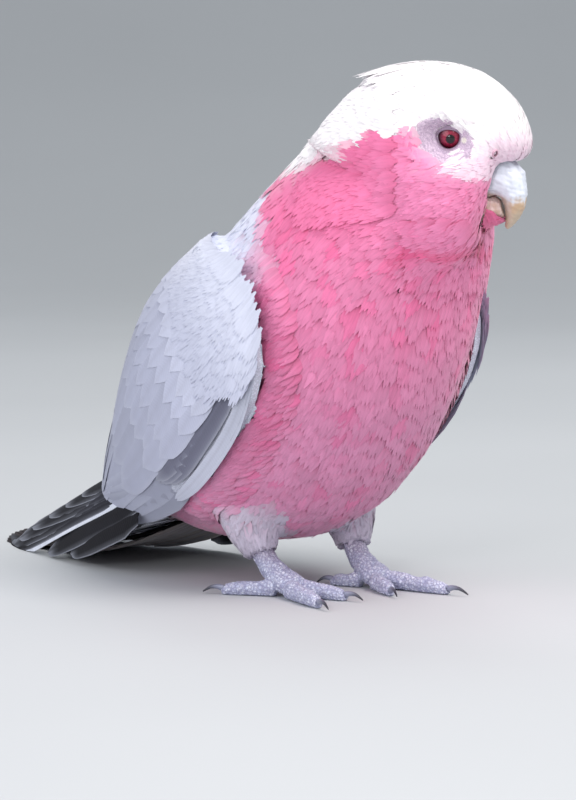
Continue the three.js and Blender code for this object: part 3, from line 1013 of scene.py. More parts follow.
def grow_vanes(
    path: Path,
    widths: Array | float,
    tints: Array,
    patch: Array,
    style: VaneStyle,
    depth: Array | float,
    lift: Array | float,
    seed: int,
    radius: float = 46.0,
) -> Sheaf:
    """Grows a firm feather along every line.

    Args:
        path: The lines.
        widths: The feathers' widths in millimetres, or one for all, as depth and lift may be.
        tints: Their colours.
        patch: Their roots' places on the bake map.
        style: How they look.
        depth: How far under the ground their roots are.
        lift: How far over the ground their tips are.
        seed: Sets their small differences.
        radius: How round the ground is across them.

    Returns:
        The arrays of all the feathers.
    """
    rng = np.random.default_rng(seed)
    n, columns = len(path.lengths), np.array(style.columns)
    widths, depth, lift = (np.broadcast_to(value, n) for value in (widths, depth, lift))
    tints = np.broadcast_to(tints, (n, 3))
    r, c = style.rows + 1, len(columns)
    along = 1 - (1 - np.linspace(0, 1, r)) ** 1.35
    body = style.narrow + (1 - style.narrow) * smooth(along, 0.0, style.belly)
    round_off = np.sqrt(np.clip(1 - np.clip((along - style.taper) / (1 - style.taper), 0, 1) ** 2, 0, 1))
    outline = body * (style.point + (1 - style.point) * round_off)
    fray = 1 - style.frayed * rng.random((n, r, 2))
    fray = np.where(columns < 0, fray[..., :1], fray[..., 1:])
    edge = np.abs(columns) ** 4
    across = columns * outline[:, None] * (1 - edge * (1 - fray)) * widths[:, None, None] / 2
    hang = style.bow * np.abs(columns) ** 2 * along[:, None] ** 3
    share = along[:, None] - hang * (widths / path.lengths)[:, None, None]
    shaft = style.shaft_mm * (np.abs(columns) < 0.1) * (1 - 0.8 * along[:, None])
    camber = style.camber_mm * (1 - columns**2) * outline[:, None]
    above = -depth[:, None, None] * (1 - along[:, None]) ** 3 + lift[:, None, None] * along[:, None]
    above = above + camber + shaft - style.tilt_mm * columns * outline[:, None]
    above = above + rng.uniform(-0.04, 0.04, (n, 1, 1))
    thin = style.thick_mm * (1 - 0.55 * along[:, None]) * (1 - 0.4 * np.abs(columns))
    across = np.broadcast_to(across, (n, r, c))
    share = np.broadcast_to(share, (n, r, c))
    row = np.broadcast_to(np.arange(n)[:, None, None], (n, r, c))
    top, up = path.place(row, share, across, above, radius)
    bottom, _ = path.place(row, share, across, above - thin, radius)

    sided = np.where(columns * style.edge_side < 0, 0.0, 1.0)
    pale = np.abs(columns) ** style.edge_power * 0.8 * sided + smooth(along, 0.86, 1.0)[:, None] * 0.7
    pale = np.clip(pale, 0, 1) * style.edge_share
    lighter = 1 + style.vary * rng.normal(0, 1, (n, 1, 1, 1))
    own = np.broadcast_to(tints[:, None, None], (n, r, c, 3)) * lighter
    # Darker towards the root: painted shade where the vane lies under the row over it.
    own = own * (style.root + (1 - style.root) * smooth(along, 0.1, 0.7))[:, None, None]
    ending = style.end_share * smooth(along, 0.3, 0.75)[:, None] * np.ones((n, 1, c))
    own = mix(own, tint(style.end_tint), ending)
    own = mix(own, tint(style.edge), pale[None] * np.ones((n, 1, 1)))
    own = mix(own, tint(style.shaft_tint), style.shaft_share * (np.abs(columns) < 0.1) * np.ones((n, r, 1)))
    # A pale band along the outer web, fading to the tip: partly the paler web, partly painted glare.
    if style.strip > 0:
        inside = smooth(-columns, 1 - 2 * style.strip - 0.1, 1 - 2 * style.strip + 0.1)
        fading = smooth(along, 0.9, 0.7)[:, None]
        own = mix(own, tint(style.strip_tint), inside * fading * np.ones((n, r, 1)))
    # The underside is the same vane painted darker: painted shade on the side that faces the body.
    own = np.concatenate([own, own * 0.85], 1)

    number = np.arange(r * c).reshape(r, c)
    under = number + r * c
    faces = [
        np.stack([number[:-1, :-1], number[:-1, 1:], number[1:, 1:], number[1:, :-1]], -1),
        np.stack([under[:-1, :-1], under[1:, :-1], under[1:, 1:], under[:-1, 1:]], -1),
        np.stack([under[:-1, 0], number[:-1, 0], number[1:, 0], under[1:, 0]], -1),
        np.stack([number[:-1, -1], under[:-1, -1], under[1:, -1], number[1:, -1]], -1),
        np.stack([under[0, :-1], under[0, 1:], number[0, 1:], number[0, :-1]], -1),
        np.stack([under[-1, 1:], under[-1, :-1], number[-1, :-1], number[-1, 1:]], -1),
    ]
    quads = np.concatenate([f.reshape(-1, 4) for f in faces])
    local = np.stack([across / widths[:, None, None], share], -1)
    local = np.concatenate([local, local * 0.9 + 0.02], 1)
    centimetres = np.stack([across, share * path.lengths[:, None, None]], -1) / 10
    return Sheaf(
        np.concatenate([top, bottom], 1).reshape(-1, 3),
        ((np.arange(n) * (2 * r * c))[:, None, None] + quads[None]).reshape(-1, 4),
        np.zeros((0, 3), int),
        own.reshape(-1, 3),
        np.concatenate([centimetres, centimetres], 1).reshape(-1, 2),
        (patch[:, None, None] + PATCH * (local - np.array([0.0, 0.5]))).reshape(-1, 2),
        np.concatenate([up, -up], 1).reshape(-1, 3),
    )


# ---------------------------------------------------------------- pattern of the coat


@dataclass(frozen=True)
class Markings:
    """A galah's colours by place: white cap and nape, rose face and body, grey back and wings."""

    cap: str = "#f6f2f4"
    lores: str = "#f6dbea"
    streak: str = "#fbd6ea"
    cheek: str = "#f08cb8"
    neck: str = "#f07aa9"
    breast: str = "#e788b1"
    belly: str = "#d48bb0"
    flank: str = "#c2688f"
    vent: str = "#a58c98"
    mantle: str = "#dfe3f6"
    rump: str = "#dcdfec"
    thigh: str = "#c5bccd"

    # Lower edge of the cap and of the pale face below the eye, as x and z in the head's frame.
    border_x: tuple[float, ...] = (-60, -53, -44, -34.7, -28, -21.2, -12.5, -10.5, -9, -3, 2, 8, 13, 20)
    border_z: tuple[float, ...] = (-15, -11, -6, -1.5, 1.5, 3.2, 2.6, 0.5, -8.6, -11.6, -13, -13.6, -15, -15)

    def over_border(self, points: Array) -> Array:
        """Gives how far points are above the cap's lower edge, in millimetres, roughened a little."""
        head = to_head(points)
        border = np.interp(head[..., 0], self.border_x, self.border_z)
        return head[..., 2] - border + 0.9 * wobble(points, 3.5)

    def cap_share(self, points: Array) -> Array:
        """Says how much of the cap's white each point has."""
        over = self.over_border(points)
        soft = np.interp(to_head(points)[..., 0], [-50, -30, -12, -6, 10], [4.0, 1.6, 0.9, 2.4, 1.6])
        return smooth(over, -soft, soft * 0.6)

    def grey_share(self, points: Array, normals: Array) -> Array:
        """Says how much of the back's grey each point has.

        Args:
            points: Places in millimetres.
            normals: The ground's normals there.

        Returns:
            A share from 0 to 1 at each point.
        """
        edge = -17 + 0.8 * (points[..., 2] - 103) + 2.0 * wobble(points, 8.0)
        behind = smooth(points[..., 1] - edge, -2.5, 3.0)
        upward = smooth(normals[..., 1] + 0.8 * normals[..., 2], -0.15, 0.35)
        between = smooth(points[..., 1] + 30, 0, 8) * smooth(26 - np.abs(points[..., 0]), 0, 6)
        upward = np.maximum(upward, between * smooth(points[..., 2] + 0.6 * points[..., 1], 62, 72))
        return behind * upward * smooth(points[..., 2], 20, 34)

    def thigh_share(self, points: Array) -> Array:
        """Says which points are on the lower thighs."""
        low = smooth(30 - points[..., 2], 0.0, 6.0)
        near = smooth(12.5 - np.hypot(np.abs(points[..., 0]) - 20, points[..., 1] - 18), 0.0, 2.0)
        return low * near

    def coat(self, points: Array, normals: Array) -> Array:
        """Gives the coat's colour at points.

        Args:
            points: Places in millimetres.
            normals: The ground's normals there.

        Returns:
            Colours in linear light.
        """
        head = to_head(points)
        z, y = points[..., 2], points[..., 1]
        own = mix(tint(self.belly), tint(self.breast), smooth(z, 45, 95))
        own = mix(own, tint(self.neck), smooth(z, 100, 128) * smooth(-normals[..., 1], 1.2, 0.2))
        face = smooth(40 - np.linalg.norm(head - np.array([2.0, 0, -14]), axis=-1), 0, 14)
        own = mix(own, tint(self.cheek), face)
        under_wing = smooth(np.abs(points[..., 0]), 30, 44) * smooth(z, 30, 50) * smooth(100 - z, 0, 20)
        own = mix(own, tint(self.flank), 0.7 * under_wing)
        own = mix(own, tint(self.vent), smooth(y, 62, 78) * smooth(40 - z, 0, 8))
        patches = wobble(points * np.array([1.0, 1.0, 0.65]), 6.5) + 0.6 * wobble(points, 3.2)
        rosier = 0.75 * smooth(patches, 0.15, 1.3) * smooth(130 - z, 0, 20)
        own = mix(own, own * np.array([1.12, 0.66, 0.84]), rosier)
        own = mix(own, tint(self.mantle), self.grey_share(points, normals))
        own = mix(own, tint(self.rump), smooth(y, 52, 66) * smooth(normals[..., 2], 0.1, 0.5))
        own = mix(own, tint(self.thigh), self.thigh_share(points))
        # A deeper pink band along the fold under the face: painted shade of the crease.
        fold = np.abs(head[..., 2] + 38.5 + 0.012 * (head[..., 0] + 8) ** 2 + wobble(points, 6.0))
        crease_shade = smooth(3.2 - fold, 0, 2.8) * smooth(20 - np.abs(head[..., 0] + 8), 0, 8)
        own = mix(own, tint("#e85a8c"), 0.7 * crease_shade)
        share = self.cap_share(points)
        blush = smooth(head[..., 0], 1, 13) * smooth(6 - head[..., 2], 0, 9)
        low_face = smooth(-head[..., 2], 3.0, 8.0) * smooth(head[..., 0], -14, -7)
        white = mix(tint(self.cap), tint(self.lores), blush)
        white = mix(white, tint(self.streak), 0.7 * low_face)
        brow = smooth(0.9 - np.abs(self.over_border(points) + 0.3), 0, 0.7)
        along = smooth(head[..., 0], -22, -15) * smooth(-5 - head[..., 0], 0, 3)
        return mix(mix(own, white, share), tint("#b7a0b8"), 0.6 * brow * along)


AXIS = np.array(
    [
        [22, -72, 146], [14, -64, 148], [8, -52, 150], [5, -43, 146], [4, -38, 139], [2, -28, 122],
        [1, -15, 106], [0, 2, 88], [0, 20, 72], [0, 40, 57], [0, 60, 44], [0, 80, 33], [0, 96, 25],
        [0, 120, 12],
    ],
    float,
)  # the line through the middle of the bird, from the bill to the tail


class BodyMap:
    """The lie of the coat, and an unwrap of the body, both from the line through its middle."""

    def __init__(self) -> None:
        """Divides the line finely."""
        self.line = spline(AXIS, np.linspace(0, 1, 400))
        self.run = unit(np.gradient(self.line, axis=0))
        self.bill = from_head(np.array([17.0, 0.0, -7.0]))

    def beside(self, points: Array) -> Array:
        """Numbers the place on the line that is level with each point."""
        tree = KDTree(len(self.line))
        for i, place in enumerate(self.line):
            tree.insert(place, i)
        tree.balance()
        return np.array([tree.find(Vector(point))[1] for point in points])

    def unwrap(self, points: Array) -> Array:
        """Unrolls the body round its middle line, from 0 to 1 both ways.

        Args:
            points: Places in millimetres.

        Returns:
            The two coordinates of each point.
        """
        at = self.beside(points)
        arm = points - self.line[at]
        back = np.cross(np.array([1.0, 0, 0]), self.run[at])
        turn = np.arctan2(arm[:, 0], np.sum(arm * unit(back), 1)) / (2 * math.pi) + 0.5
        return np.stack([turn, at / (len(self.line) - 1)], -1)

    def lie(self, points: Array, normals: Array) -> Array:
        """Gives the way the coat lies: away from the bill on the head, then down the body's line.

        Args:
            points: Places in millimetres.
            normals: The ground's normals there.

        Returns:
            A unit vector in the ground at each point.
        """
        head = to_head(points)
        away = unit(points - self.bill)
        share = smooth(np.linalg.norm(head - np.array([-6.0, 0, -12]), axis=-1), 26, 50)
        down = self.run[self.beside(points)]
        heading = mix(away, down, share)
        leg = smooth(34 - points[:, 2], 0, 8) * smooth(
            13 - np.hypot(np.abs(points[:, 0]) - 20, points[:, 1] - 18), 0, 3
        )
        heading = mix(heading, np.array([0.0, -0.25, -1.0]), leg)
        return flatten(heading, normals)


# ---------------------------------------------------------------- flesh and skin

CORE = ["trunk", "neck", "head", "thigh_right", "thigh_left"]
WINGS = ["wing_right", "wing_left"]


@dataclass
class Flesh:
    """The flesh solids drawn into one smooth form, the grounds on it, and the skin inside it."""

    voxel_mm: float = 1.25
    body_depth: float = 3.0
    head_depth: float = 1.5
    thigh_depth: float = 1.0
    markings: Markings = field(default_factory=Markings)

    def form(self, name: str, nodes: list[str], swell: float = 0.32) -> bpy.types.Object:
        """Draws solids, grown a little to close the thin cuts between them, into one smooth form."""
        piece = node_copy(name, nodes, swell)
        remesh(piece, self.voxel_mm, 7)
        return piece

    def build(self) -> None:
        """Makes the grounds with and without the wings, and the skin."""
        self.body = Ground.of_form(self.form("bare_form", CORE))
        self.skin = self.form("skin", CORE + WINGS)
        self.whole = Ground.of_piece(self.skin)
        mesh = self.skin.data
        points, normals = coordinates(mesh), normals_of(mesh)
        head = to_head(points)
        near = smooth(np.linalg.norm(head - np.array([0, 0, -12.0]), axis=1), 28, 45)
        depth = self.head_depth + (self.body_depth - self.head_depth) * near
        depth = np.where(points[:, 2] < 30, np.minimum(depth, self.thigh_depth + 1), depth)
        depth = np.where(self.markings.thigh_share(points) > 0.3, self.thigh_depth, depth)
        shell = np.abs(points[:, 0]) > 30
        depth = np.where(shell | (points[:, 1] > 70), np.minimum(depth, 1.6), depth)
        set_coordinates(mesh, points - normals * depth[:, None])
        modify(self.skin, "SMOOTH", factor=0.5, iterations=2)
        # The skin takes the coat's colours, darkened a little as painted shade in the gaps between feathers.
        colours = self.markings.coat(points, normals) * 0.85
        wing = Ground.of_form(node_copy("wing_copy", WINGS))
        rim = smooth(2.5 - wing.distance(points), 0.0, 1.0) * smooth(np.abs(points[:, 0]), 12, 16)
        pale = mix(tint("#b4b8cf"), tint("#cdd0e0"), smooth(100 - points[:, 2], 0, 10))
        colours = mix(colours, pale, rim)
        store_tint(self.skin.data, colours)

    def dress(self) -> None:
        """Finishes the skin, which stands for all the flesh solids."""
        finish_piece(self.skin, SkinFinish("thin_living_skin").material())
        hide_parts(*CORE, *WINGS)
        shade_smooth(self.skin.data)


# ---------------------------------------------------------------- coat of tufts


@dataclass(frozen=True)
class Region:
    """One piece of the coat: its name, its slot and how its feathers look."""

    name: str
    slot: Slot
    style: TuftStyle
    wide: float = 2.2  # feather width over the distance between roots
    long: float = 2.7  # feather length over the same
    lift: float = 0.45
    finish: str = "loose_barbed_down"


CROWN = Region(
    "crown_coat",
    Slot.CROWN,
    TuftStyle(locks=5, fat=2.2, root=0.93, tip=1.0, deep="#f0dde6", deep_share=0.3, vary=0.01, ragged=0.06),
    wide=2.0,
    long=3.8,
    lift=0.18,
    finish="silky_crown_feather",
)
FACE = Region(
    "face_coat", Slot.DOWN, TuftStyle(locks=5, fat=1.9, ragged=0.08, vary=0.035), long=3.4, lift=0.2
)
NECK = Region("neck_coat", Slot.DOWN, TuftStyle(ragged=0.07), long=3.4, lift=0.14)
BREAST = Region("breast_coat", Slot.DOWN, TuftStyle(), long=3.4, lift=0.14)
BELLY = Region("belly_coat", Slot.DOWN, TuftStyle(), long=3.3, lift=0.18)
MANTLE = Region(
    "mantle_coat",
    Slot.GREY,
    TuftStyle(fat=2.5, deep="#a9abbd", deep_share=0.3, root=0.9, vary=0.02),
    long=3.3,
    lift=0.3,
    finish="close_grey_feather",
)
THIGHS = Region(
    "thigh_coat",
    Slot.THIGH,
    TuftStyle(locks=4, fat=1.6, deep="#8d7f90", deep_share=0.3, ragged=0.12, lock_mm=0.1),
    long=2.6,
    lift=0.2,
    finish="short_leg_down",
)


@dataclass
class BodyCoat:
    """The loose coat of the head, neck, body and thighs."""

    flesh: Flesh
    markings: Markings = field(default_factory=Markings)
    body: BodyMap = field(default_factory=BodyMap)
    seed: int = 7
    reach_mm: tuple[float, ...] = (0, 12, 26, 40, 55, 75)
    gap_mm: tuple[float, ...] = (1.3, 1.5, 2.0, 2.6, 3.3, 3.9)
    eye_patch: tuple[float, float] = (7.9, 4.7)
    patch_at: tuple[float, float] = (-2.2, -1.0)
    patch_slant: float = math.radians(-31)

    def spacing(self, points: Array) -> Array:
        """Gives the distance between roots: least at the bill, and small on the thighs."""
        reach = np.linalg.norm(points - self.body.bill, axis=1)
        gap = np.interp(reach, self.reach_mm, self.gap_mm)
        return np.where(self.markings.thigh_share(points) > 0.3, 1.9, gap)

    def bare(self, points: Array) -> Array:
        """Says which points lie on the bare skin round an eye.

        Args:
            points: Places in millimetres.

        Returns:
            True at each point on it.
        """
        head = to_head(points)
        x, z = head[:, 0] - self.patch_at[0], head[:, 2] - self.patch_at[1]
        c, s = math.cos(self.patch_slant), math.sin(self.patch_slant)
        u, v = c * x + s * z, c * z - s * x
        inside = (u / self.eye_patch[0]) ** 2 + (v / self.eye_patch[1]) ** 2 < 1 + 0.22 * wobble(points, 1.3)
        return inside & (np.abs(head[:, 1]) > 7)

    def rooted(self, points: Array) -> Array:
        """Says how deep roots go, as a share: less beside the bare skin, so that no groove shows."""
        head = to_head(points)
        place = np.array([self.patch_at[0], self.patch_at[1]])
        return 0.25 + 0.75 * smooth(np.linalg.norm(head[:, [0, 2]] - place, axis=1), 8.0, 12.0)

    def wanted(self, points: Array, normals: Array) -> Array:
        """Says where feathers may root."""
        foot = self.markings.thigh_share(points) > 0.3
        low = foot & (points[:, 2] < 13.5)
        return ~self.bare(points) & ~low

    def visible(self, path: Path) -> Array:
        """Leaves out feathers that lie wholly under a wing."""
        roots = self.wing_cover.covered(path.points[:, 0], path.normals[:, 0], 14.0)
        tips = self.wing_cover.covered(path.points[:, -1], path.normals[:, -1], 14.0)
        return ~(roots & tips)

    def build(self) -> None:
        """Spreads the roots, lays the feathers and grows each region's piece."""
        self.wing_cover = Ground.of_form(node_copy("wing_copy", WINGS))
        bill = Ground.of_form(node_copy("bill_copy", ["bill_upper", "bill_lower"]))
        roots, normals = self.flesh.body.scatter(self.spacing, self.wanted, self.seed)
        roots_ok = ~self.bare(roots) & (bill.distance(roots) > 0.7)
        roots, normals = roots[roots_ok], normals[roots_ok]
        gap = self.spacing(roots)
        cap = self.markings.cap_share(roots) > 0.5
        grey = self.markings.grey_share(roots, normals) > 0.5
        rump = (roots[:, 1] > 56) & (normals[:, 2] > 0.3)
        thigh = self.markings.thigh_share(roots) > 0.3
        reach = np.linalg.norm(roots - self.body.bill, axis=1)
        kind = np.select(
            [thigh, grey | rump, cap & (reach < 78), reach < 47, roots[:, 2] > 104, roots[:, 2] > 66],
            [6, 5, 0, 1, 2, 3],
            4,
        )
        self.pieces = []
        for number, region in enumerate([CROWN, FACE, NECK, BREAST, BELLY, MANTLE, THIGHS]):
            mine = kind == number
            lengths = region.long * gap[mine] + 1.2
            lie = self.body.lie(roots[mine], normals[mine])
            path = self.flesh.body.walk(roots[mine], lie, lengths)
            seen = self.visible(path)
            path = path.only(seen)
            own = gap[mine][seen]
            tips = path.points[:, -1]
            sheaf = grow_tufts(
                path,
                region.wide * own,
                self.markings.coat(tips, path.normals[:, -1]),
                fill_map(self.body.unwrap(path.points[:, 0])),
                region.style,
                (0.28 * own + 0.1) * self.rooted(path.points[:, 0]),
                region.lift * np.sqrt(own / 3.5),
                self.seed + number,
            )
            self.pieces.append((feather_mesh(region.name, above_floor(sheaf), 0.88), region))

    def dress(self) -> None:
        """Finishes every region's piece."""
        made: dict[str, bpy.types.Material] = {}
        for piece, region in self.pieces:
            if region.finish not in made:
                smoother = region.finish in ("silky_crown_feather", "close_grey_feather")
                made[region.finish] = CoatFinish(region.finish, streak=0.05 if smoother else 0.12).material()
            finish_piece(piece, made[region.finish])


@dataclass
class HeadPlumes:
    """The longer feathers of the head: the flat crest, the nape, and the fringe under the lower bill."""

    flesh: Flesh
    markings: Markings = field(default_factory=Markings)
    body: BodyMap = field(default_factory=BodyMap)
    seed: int = 41

    def grow(
        self,
        ground: Ground,
        rows: list[tuple[float, ...]],
        ahead: Array,
        style: TuftStyle,
        tone: str | None,
        leave: int,
        lift: float,
    ) -> Sheaf:
        """Grows plumes from places in the head's frame, on both sides of it.

        Args:
            ground: What they lie on.
            rows: Root x, y and z, length and width of each, in millimetres.
            ahead: The way they set off, in the head's frame.
            style: How they look.
            tone: Their colour, or None for the pattern's.
            leave: After how many of six steps they leave the ground.
            lift: How far their tips stand over it.

        Returns:
            The arrays of all of them.
        """
        table = np.array(rows, float)
        other = table * np.array([1, -1, 1, 1, 1.0])
        table = np.concatenate([table, other[np.abs(table[:, 1]) > 0.1]])
        roots = from_head(table[:, :3])
        fan = way_from_head(table[:, 1:2] * np.array([0.0, 0.03, 0.0]))
        path = ground.walk(roots, way_from_head(ahead) + fan, table[:, 3], 6, leave)
        if tone is None:
            tones, deep = self.markings.coat(path.points[:, 2], path.normals[:, 2]), 0.5
        else:
            tones, deep = tint(tone), 1.1
        patch = fill_map(roots[:, :2] + 0.3 * roots[:, 2:])
        return grow_tufts(path, table[:, 4], tones, patch, style, deep, lift, self.seed)

    def fill(self, form: bpy.types.Object) -> None:
        """Fills the hollow under the crest with a hull from the head's back out to the nape's own line.

        Args:
            form: The form of head and neck, changed in place.
        """
        ridge = ((-35, 4, 14), (-40.5, 5, 8.8), (-45.5, 6, 3.6), (-49.5, 7.5, -3.5))
        points = coordinates(form.data)
        head = to_head(points)
        behind = np.all(np.abs(head - np.array([-24, 0, 4.5])) < np.array([11, 20, 14.5]), axis=1)
        ends = from_head(np.array([(x, side * y, z) for x, y, z in ridge for side in (-1, 1)]))
        bm = bmesh.new()
        for corner in (np.concatenate([points[behind][::5], ends]) + ORIGIN) * MM:
            bm.verts.new(corner)
        hull = bmesh.ops.convex_hull(bm, input=bm.verts)
        loose = hull["geom_interior"] + hull["geom_unused"]
        inner = {item for item in loose if isinstance(item, bmesh.types.BMVert)}
        bmesh.ops.delete(bm, geom=list(inner), context="VERTS")
        bm.from_mesh(form.data)
        bm.to_mesh(form.data)
        bm.free()

    def bridge(self) -> Sheaf:
        """Grows the feathers that bridge the hollow between head and neck, over a smoother form."""
        form = self.flesh.form("hood_form", ["head", "neck", "trunk"], 1.2)
        self.fill(form)
        remesh(form, 0.9, 40)
        hood = Ground.of_form(form)

        def wanted(points: Array, normals: Array) -> Array:
            """Keeps to the nape, the back of the cheeks and the throat."""
            head = to_head(points)
            nape = (np.abs(head[:, 0] + 33) < 16) & (np.abs(head[:, 2] + 4) < 19.5)
            return nape | ((np.abs(head[:, 0] + 1) < 10) & (np.abs(head[:, 2] + 35) < 9))

        roots, normals = hood.scatter(lambda points: np.full(len(points), 2.3), wanted, self.seed)
        path = hood.walk(roots, self.body.lie(roots, normals), np.full(len(roots), 9.0))
        tones = self.markings.coat(path.points[:, -1], path.normals[:, -1])
        patch = fill_map(self.body.unwrap(roots))
        white = self.markings.cap_share(path.points[:, -1]) > 0.5
        sheaves = []
        for mine, region in ((white, CROWN), (~white, NECK)):
            values = (path.only(mine), 5.0, tones[mine], patch[mine], region.style)
            sheaves.append(grow_tufts(*values, 0.7, 0.2, 9))
        return joined(sheaves)

    def build(self) -> None:
        """Makes the crest, the nape and the fringe."""
        silk = TuftStyle(
            locks=9, stations=7, fan=0.85, fat=2.8, round=0.12, ragged=0.03, lock_mm=0.1, root=0.98, tip=1.0,
            deep="#f3e6ec", deep_share=0.2, vary=0.01,
        )
        crest = [
            (x, y, 30, 0.98 * (x + 35) - 0.3 - 0.42 * abs(y), 6.8)
            for x, y in (
                (0, 0), (-3, 3.5), (-7, 0), (-8, 7), (-12, 3.5),
                (-14, 10), (-16, 0), (-18, 6.5), (-21, 2.5), (-22, 11),
            )
        ]
        crown = self.grow(self.flesh.body, crest, np.array([-1.0, 0, -0.42]), silk, None, 4, 0.5)
        self.crest = feather_mesh("crest_feathers", crown, 0.9)
        self.nape = feather_mesh("nape_feathers", self.bridge(), 0.88)
        ground = Ground.of_form(self.flesh.form("face_form", ["head", "bill_lower"], 1.3))
        # The chin feathers are rose; these deeper reds, darkest at the base, are painted shade under the
        # lower bill.
        barbs = TuftStyle(stations=5, fan=0.8, fat=2.2, ragged=0.1, deep="#b83e68")
        edge = ((6.4, -22.5), (6.1, -24.5), (5.4, -26.5), (4.0, -28.2), (2.4, -29.2), (0.6, -29.8))
        fringe = [(x, y, z, 6.5 + 0.5 * (8 - x), 3.4) for x in (7.2, 4.8) for y, z in edge]
        wisps = [
            (8.0, 0.0, -30, 10, 2.0), (7.6, 1.6, -30, 8, 2.0), (7.0, 3.0, -29, 7, 2.0),
            (6.0, 0.0, -31, 11, 2.2),
        ]
        parts = [
            self.grow(ground, fringe, np.array([0.8, 0, -0.45]), barbs, "#e0709a", 5, 0.25),
            self.grow(ground, wisps, np.array([0.35, 0, -1.0]), barbs, "#cf5a7e", 1, 0.6),
        ]
        self.fringe = feather_mesh("chin_fringe", joined(parts), 0.85)

    def dress(self) -> None:
        """Finishes them."""
        silk = CoatFinish("silky_crest_feather", streak=0.05).material()
        finish_piece(self.crest, silk)
        finish_piece(self.nape, silk)
        finish_piece(self.fringe, CoatFinish("soft_chin_feather").material())


# ---------------------------------------------------------------- wings


@dataclass
class WingForm:
    """The right wing's outer surface, known by distance along it and share across it."""

    at: tuple[tuple[float, float, float], ...] = (
        (2, -40, 128), (1, -26, 114), (0, -8, 96), (0, 12, 78), (0, 34, 62), (0, 56, 48), (0, 78, 36),
        (0, 98, 26), (0, 116, 20),
    )
    wide: tuple[float, ...] = (24, 40, 45, 47, 45, 39, 31, 22, 12)
    back: tuple[float, ...] = (24, 37, 42, 47, 49, 42, 27, 13, 5)
    belly: tuple[float, ...] = (24, 42, 46, 48, 44, 35, 24, 13, 6)
    thick: float = 5.0
    square: float = 2.25
    drift: float = 0.12  # how far the feathers' lines move towards the lower edge, as a share

    def point(self, t: Array, turn: Array, grow: float) -> Array:
        """Finds points of the form.

        Args:
            t: Shares along its line, from shoulder to tip.
            turn: Angles from the side, upwards, in radians.
            grow: How far outside the form, in millimetres.

        Returns:
            The points in millimetres.
        """
        centre, _, side, back = frame_on(self.at, t)
        power = 2 / self.square
        out = np.sign(np.cos(turn)) * np.abs(np.cos(turn)) ** power
        over = np.sign(np.sin(turn)) * np.abs(np.sin(turn)) ** power
        wide = spline(np.array(self.wide), t) + grow
        deep = np.where(over > 0, spline(np.array(self.back), t), spline(np.array(self.belly), t)) + grow
        return centre - side * (out * wide)[..., None] + back * (over * deep)[..., None]

    def build(self) -> None:
        """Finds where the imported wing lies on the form, and makes its ground."""
        solid = Ground.of_form(node_copy("wing_copy", ["wing_right"]))
        t = np.linspace(0.14, 0.97, 42)
        turn = np.radians(np.arange(-86, 92, 2.0))
        tt, aa = np.meshgrid(t, turn, indexing="ij")
        grid = self.point(tt, aa, self.thick)
        near = solid.distance(grid.reshape(-1, 3)).reshape(tt.shape) < 0.9
        some = near.any(1)
        low = np.array([turn[row].min() if row.any() else np.nan for row in near])
        high = np.array([turn[row].max() if row.any() else np.nan for row in near])
        self.t = t[some]
        kernel = np.ones(7) / 7
        edges = [low[some], high[some]]
        for _ in range(2):
            edges = [np.convolve(np.pad(edge, 3, mode="edge"), kernel, mode="valid") for edge in edges]
        self.low, self.high = edges
        line = np.array(self.at, float)
        self.run_t = np.linspace(0, 1, len(line))
        self.run_s = (line[:, 1] - line[:, 2]) / math.sqrt(2)
        LOG.info("wing form runs from t %.2f to %.2f", self.t[0], self.t[-1])

    def at_share(self, run: Array, share: Array) -> Array:
        """Finds points on the wing.

        Args:
            run: Distance along the wing in millimetres, about -78 at the wrist and 60 at the tips.
            share: From 0 at the leading and lower edge to 1 at the upper edge.

        Returns:
            The points in millimetres.
        """
        t = np.interp(run, self.run_s, self.run_t)
        low, high = np.interp(t, self.t, self.low), np.interp(t, self.t, self.high)
        return self.point(t, low + (high - low) * share, self.thick)

    def lines(self, run: Array, share: Array, lengths: Array, steps: int = 10) -> Path:
        """Lays lines along the wing, each at its own share of the width.

        Args:
            run: Where they start.
            share: How far up the wing each is.
            lengths: How far along the wing they go, in millimetres.
            steps: How many steps each takes.

        Returns:
            The lines.
        """
        at = run[:, None] + lengths[:, None] * np.linspace(0, 1, steps + 1)
        rows = share[:, None] - self.drift * 4 * share[:, None] * (1 - share[:, None]) * (at + 78) / 138
        points = self.at_share(at, rows)
        upwards = self.at_share(at, rows + 0.02) - self.at_share(at, rows - 0.02)
        out = unit(np.cross(upwards, np.gradient(points, axis=1)))
        return Path(points, out, np.linalg.norm(np.diff(points, axis=1), axis=-1).sum(1))

    def run_of(self, points: Array) -> Array:
        """Gives how far along the wing points are."""
        return (points[:, 1] - points[:, 2]) / math.sqrt(2)

    def width_at(self, run: float) -> float:
        """Measures the wing across at a place along it."""
        line = self.at_share(np.full(30, run), np.linspace(0, 1, 30))
        return float(np.linalg.norm(np.diff(line, axis=0), axis=1).sum())


@dataclass(frozen=True)
class Row:
    """One row of firm feathers on the wing."""

    root: float  # where the roots are along the wing
    long: float
    wide: float
    gap: float
    first: float = 0.0
    last: float = 1.0
    depth: float = 2.5
    lift: float = 0.0
    tone: str = "#b4b6c8"
    shorter: float = 0.0  # how much shorter the feathers at the upper edge are, as a share
    style: VaneStyle = field(default_factory=VaneStyle)


